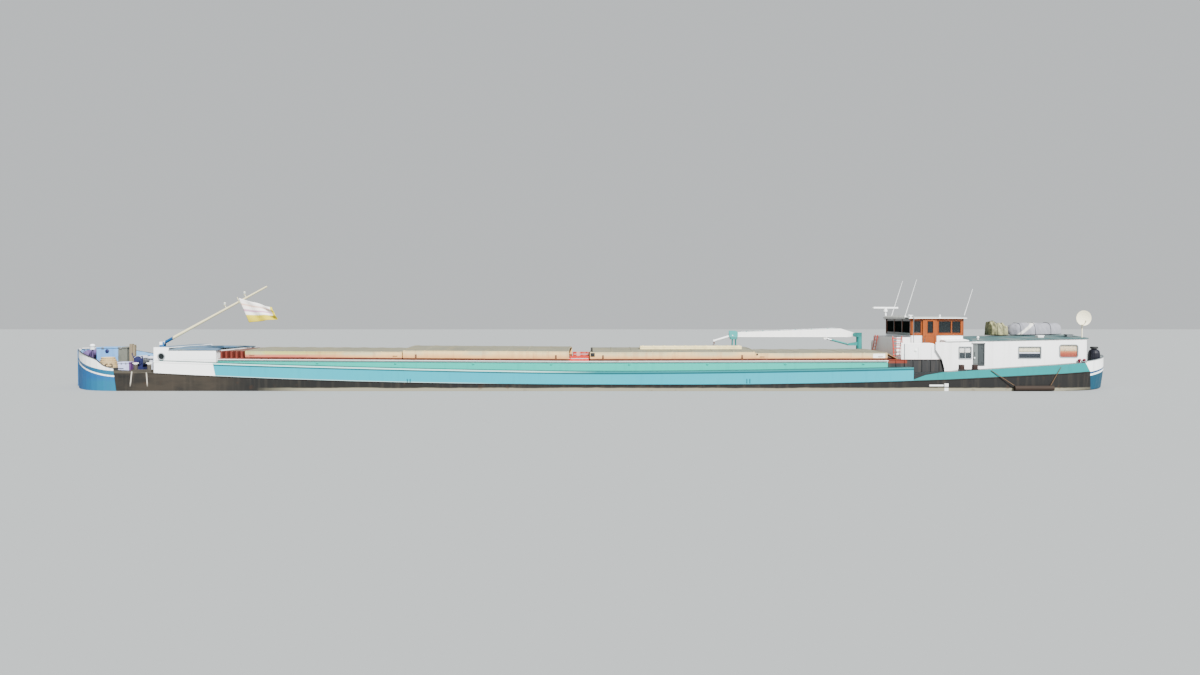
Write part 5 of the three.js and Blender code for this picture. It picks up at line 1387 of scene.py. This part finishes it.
def windlassFittings():
    # flanges of the warping ends and drums, a brake wheel with its spokes and shaft
    x, z = windlass["middle"]
    radius = windlass["brakeWheel"]
    dark = []
    flange = [(0.0, 0.0), (0.066, 0.0), (0.068, 0.008), (0.05, 0.016), (0.0, 0.016)]
    drum = [(0.0, 0.0), (0.096, 0.0), (0.096, 0.012), (0.0, 0.012)]
    for side in sides:
        dark.append(turned(flange, (x, side * 0.28, z), 1, 20, side))
        dark.append(turned(drum, (x, side * 0.158, z), 1, 24, side))
    middle = np.array([x + 0.14, 0.1, z + 0.02])
    rim = line(middle[0], *(middle[1:] + oval(radius, radius, 24)).T)
    dark.append(carried(oval(0.006, 0.006, 8), rim, (1, 0, 0), loop=True))
    for turn in (0, math.pi / 2):
        spoke = np.array([0, radius * math.cos(turn), radius * math.sin(turn)])
        dark.append(rod([middle - spoke, middle + spoke], 0.004, 8))
    dark.append(rod([(x + 0.06, 0.1, z + 0.02), (x + 0.146, 0.1, z + 0.02)], 0.007, 8))
    piece("windlass_fittings", dark, "mauve")


def foreHouseSteps():
    # bent irons up the fore wall
    irons = [rod([(10.076, -0.5, z), (10.12, -0.49, z), (10.12, -0.35, z), (10.076, -0.34, z)], 0.007, 8)
             for z in (1.62, 1.76, 1.90)]
    piece("fore_house_steps", irons, "jib")


bulwarkCapping()
fairleads()
lockerFittings()
winchFittings()
foredeckVent()
lampLenses()
windlassFittings()
foreHouseSteps()
print("foredeck fittings done")

# Aft: casing, screens, wheelhouse and cabin


def casingStiffeners():
    # upright flats on the casing's sides and a moulding along their heads
    parts = []
    profile = [(-0.008, -0.001), (0.008, -0.001), (0.008, 0.008), (0.004, 0.012), (-0.004, 0.012),
               (-0.008, 0.008)]
    for side in sides:
        y = side * 1.3
        for x in np.arange(-7.05, -8.1, -0.2):
            low = float(gangwayTop(x) if x > -7.348 else aftDeckTop(x)) + 0.003
            parts.append(roundBox((x - 0.007, y - side * 0.001, low), (x + 0.007, y + side * 0.016, 1.796),
                                  0.002, 1))
        parts.append(carried(profile, [(-6.872, y, 1.797), (-8.09, y, 1.797)], (0, side, 0)))
    piece("casing_stiffeners", parts, "casing")


screens = {"fore": -7.17, "aft": -8.12, "high": 2.17, "sweep": 0.33, "drop": 0.234}


def screenFittings():
    # boss, edge bead swept along the top and dark seams on each screen
    sweep, drop, high = screens["sweep"], screens["drop"], screens["high"]
    turn = np.linspace(0, math.pi / 2, 14)
    x = np.append(screens["fore"], screens["aft"] + sweep - sweep * np.sin(turn))
    z = np.append(high, high - drop * (1 - np.cos(turn)))
    white, dark = [], []
    for side in sides:
        white.append(carried(capping(0.0085), line(x, side * 1.291, z), (0, 1, 0)))
        boss = [(0.0, -0.001), (0.034, -0.001), (0.036, side * 0.006), (0.024, side * 0.014),
                (0.0, side * 0.016)]
        white.append(turned(boss, (-7.504, side * 1.298, 2.009), 1, 22))
        dark.append(roundBox((-7.252, side * 1.2965, 1.812), (-7.232, side * 1.303, 2.165), 0.002, 1))
        for x0 in (-7.56, -7.86):
            dark.append(roundBox((x0 - 0.003, side * 1.2975, 1.812), (x0 + 0.003, side * 1.2995, 2.08),
                                 0.0008, 1))
    piece("screen_edges", white, "jib")
    piece("screen_seams", dark, "grey")


def wheelhouseFittings():
    # thin pole with its roof bracket, roof lamps and horn, sill shelf with a white ball
    x, y = -7.52, 1.078
    foot = [(0.0, 0.0), (0.02, 0.0), (0.02, 0.008), (0.009, 0.012), (0.0, 0.012)]
    dark = [rod([(x, y, 1.806), (x, y, 2.765)], 0.008), rod([(x, y, 2.752), (x, 1.055, 2.752)], 0.006, 8),
            turned(foot, (x, y, 1.8054), 2, 14)]
    roofAt = wheelhouse["roofTop"] - wheelhouse["roofDrop"] * (0.9 / wheelhouse["roofHalf"]) ** 2
    white = []
    for x0, tall in ((-7.50, 0.052), (-8.185, 0.064)):
        post = [(0.0, -0.004), (0.03, -0.004), (0.03, 0.008), (0.012, 0.012), (0.012, tall * 0.55),
                (0.022, tall * 0.6), (0.022, tall * 0.95), (0.012, tall), (0.0, tall)]
        white.append(turned(post, (x0, 0.9, roofAt), 2, 16))
    horn = [(0.0, 0.0), (0.006, 0.0), (0.008, 0.06), (0.012, 0.09), (0.022, 0.11), (0.024, 0.112),
            (0.0, 0.104)]
    ball = [(0.022 * math.sin(t), 0.022 - 0.022 * math.cos(t)) for t in np.linspace(0, math.pi, 13)]
    ball[0], ball[-1] = (0.0, 0.0), (0.0, 0.044)
    white += [turned(horn, (-7.75, 0.3, 2.818), 0),
              roundBox((-7.71, 0.285, 2.79), (-7.68, 0.315, 2.818), 0.004, 1),
              turned(ball, (-7.64, 0.95, 2.4015))]
    shelf = roundBox((-7.715, 0.925, 2.388), (-7.54, 0.976, 2.402), 0.003, 1)
    piece("wheelhouse_pole", dark, "grey")
    piece("wheelhouse_roof_gear", white, "jib")
    piece("wheelhouse_shelf", [shelf], "beadWood")


def cabinFittings():
    # roof gutter, globe lamp, two low roof vents and the twin red knobs on the strake
    x = np.linspace(-8.18, -11.44, 24)
    half = cabinRoofHalf
    gutters = []
    for side in sides:
        path = line(x, side * (half + 0.001), cabinRoofLow(x) + 0.008)
        gutters.append(carried(halfRound(0.009, 0.008), path, (0, side, 0)))
    edge = line(-11.45, np.linspace(-half, half, 5), cabinRoofLow(-11.45) + 0.012)
    gutters.append(carried(capping(0.007), edge, (1, 0, 0)))
    globe = [(0.0, -0.003), (0.02, -0.003), (0.02, 0.01), (0.012, 0.014), (0.012, 0.02)]
    globe += [(0.03 * math.sin(t), 0.046 - 0.03 * math.cos(t)) for t in np.linspace(0.42, math.pi, 11)]
    globe[-1] = (0.0, 0.076)
    white, grey = [turned(globe, (-8.97, 1.2, cabinRoofTop(-8.97, 1.2)))], []
    for x0, tall, parts in ((-10.49, 0.04, white), (-11.16, 0.052, grey)):
        foot = cabinRoofTop(x0, 1.0)
        lid = foot + tall
        parts.append(roundBox((x0 - 0.07, 0.93, foot - 0.006), (x0 + 0.07, 1.07, lid), 0.012, 3))
        parts.append(roundBox((x0 - 0.08, 0.92, lid - 0.006), (x0 + 0.08, 1.08, lid + 0.008), 0.004, 2))
    knob = [(0.0, 0.0), (0.03, 0.0), (0.03, 0.006), (0.015, 0.01), (0.015, 0.03), (0.034, 0.04),
            (0.034, 0.072), (0.022, 0.084), (0.0, 0.085)]
    red = [turned(knob, (x0, 1.40, float(aftDeckTop(x0)) + 0.0006)) for x0 in (-11.235, -11.345)]
    piece("cabin_gutters", gutters, "cabinRoof")
    piece("cabin_trim", white, "jib")
    piece("cabin_roof_vent", grey, "grey")
    piece("quarter_knobs", red, "knob")


def bollardCaps():
    # square caps with rounded edges and a foot flange over the after bollards' posts
    parts = []
    for side in sides:
        y = side * 1.545
        for x in (-8.47, -8.776):
            parts.append(roundBox((x - 0.055, y - 0.053, 1.5875), (x + 0.055, y + 0.053, 1.695), 0.012, 3))
            parts.append(roundBox((x - 0.06, y - 0.056, 1.5872), (x + 0.06, y + 0.056, 1.603), 0.004, 2))
    piece("bollard_aft_caps", parts, "cap")


def cabinDoorFittings():
    # a raised frame of mouldings, an upright batten and the white knob
    y = cabin["half"]
    trim = [frameRound(1, y, 1, -9.045, -8.83, 1.72, 2.13, 0.012, 0.005),
            roundBox((-8.945, y - 0.001, 1.68), (-8.93, y + 0.004, 2.155), 0.001, 1)]
    knob = [(0.0, 0.0), (0.011, 0.0), (0.008, 0.008), (0.008, 0.016), (0.015, 0.022), (0.015, 0.032),
            (0.0, 0.038)]
    piece("cabin_door_mouldings", trim, "cabinDoor", "cabin_side_door")
    piece("cabin_door_knob", [turned(knob, (-8.832, y + 0.001, 1.84), 1, 16)], "jib", "cabin_side_door")


def sternFittings():
    # capping along the stern rail, stern lamp and its post
    x = -11.2 - 1.18 * np.sin(np.linspace(0, math.pi / 2, 40))
    grey = [carried(capping(0.012), line(x, side * (deckHalf(x) - 0.013), 1.757 + (-11.2 - x) * 0.085))
            for side in sides]
    spot = (-12.22, 0, float(aftDeckTop(-12.22)) + 0.0006)
    post = [(0.0, 0.0), (0.03, 0.0), (0.03, 0.008), (0.011, 0.012), (0.011, 0.25), (0.03, 0.256),
            (0.034, 0.262), (0.034, 0.3), (0.024, 0.315), (0.0, 0.32)]
    piece("stern_capping", grey + [turned(post, spot)], "grey")
    band = [(0.0, 0.266), (0.0355, 0.266), (0.037, 0.281), (0.0355, 0.296), (0.0, 0.296)]
    piece("stern_lamp_lens", [turned(band, spot)], "lens")


casingStiffeners()
screenFittings()
wheelhouseFittings()
cabinFittings()
bollardCaps()
cabinDoorFittings()
sternFittings()
print("aft fittings done")

# Floor, light and camera

camera = {"place": (-0.22, 24.35, 2.85), "tiltDown": 1.346, "lens": 30.0, "sensor": 36.0, "far": 400}
lights = {"sunTurn": (48, 0, 205), "sunStrength": 12.0, "softness": 12, "sky": 0.8, "skyColour": "#eef2f4"}
floorSpan = 90


def added(name, data):
    # a new object with this data
    made = bpy.data.objects.new(name, data)
    bpy.context.scene.collection.objects.link(made)
    return made


def makeFloor():
    # a level square at the waterline
    span = np.linspace(-floorSpan, floorSpan, 3)
    points, quads, _ = sheetSurface(line(span[:, None], span[None, :], waterline))
    mesh = bpy.data.meshes.new("floor")
    mesh.from_pydata(points.tolist(), [], quads.tolist())
    mesh.materials.append(Paint("floor_pale").finish("#8f9292", 0.8))
    floor = added("floor", mesh)


def makeLights():
    # one soft sun and an even sky
    sun = bpy.data.lights.new("sun", "SUN")
    sun.energy = lights["sunStrength"]
    sun.angle = math.radians(lights["softness"])
    added("sun", sun).rotation_euler = [math.radians(v) for v in lights["sunTurn"]]
    world = bpy.data.worlds.new("sky")
    bpy.context.scene.world = world
    world.use_nodes = True
    back = world.node_tree.nodes["Background"]
    back.inputs["Color"].default_value = tint(lights["skyColour"])
    back.inputs["Strength"].default_value = lights["sky"]


def makeCamera():
    # nearly level, square to the port side
    data = bpy.data.cameras.new("camera")
    data.lens = camera["lens"]
    data.sensor_width = camera["sensor"]
    data.clip_end = camera["far"]
    eye = added("camera", data)
    eye.location = camera["place"]
    eye.rotation_euler = (math.radians(90 - camera["tiltDown"]), 0, math.radians(180))
    bpy.context.scene.camera = eye


makeFloor()
makeLights()
makeCamera()
print("stage set")
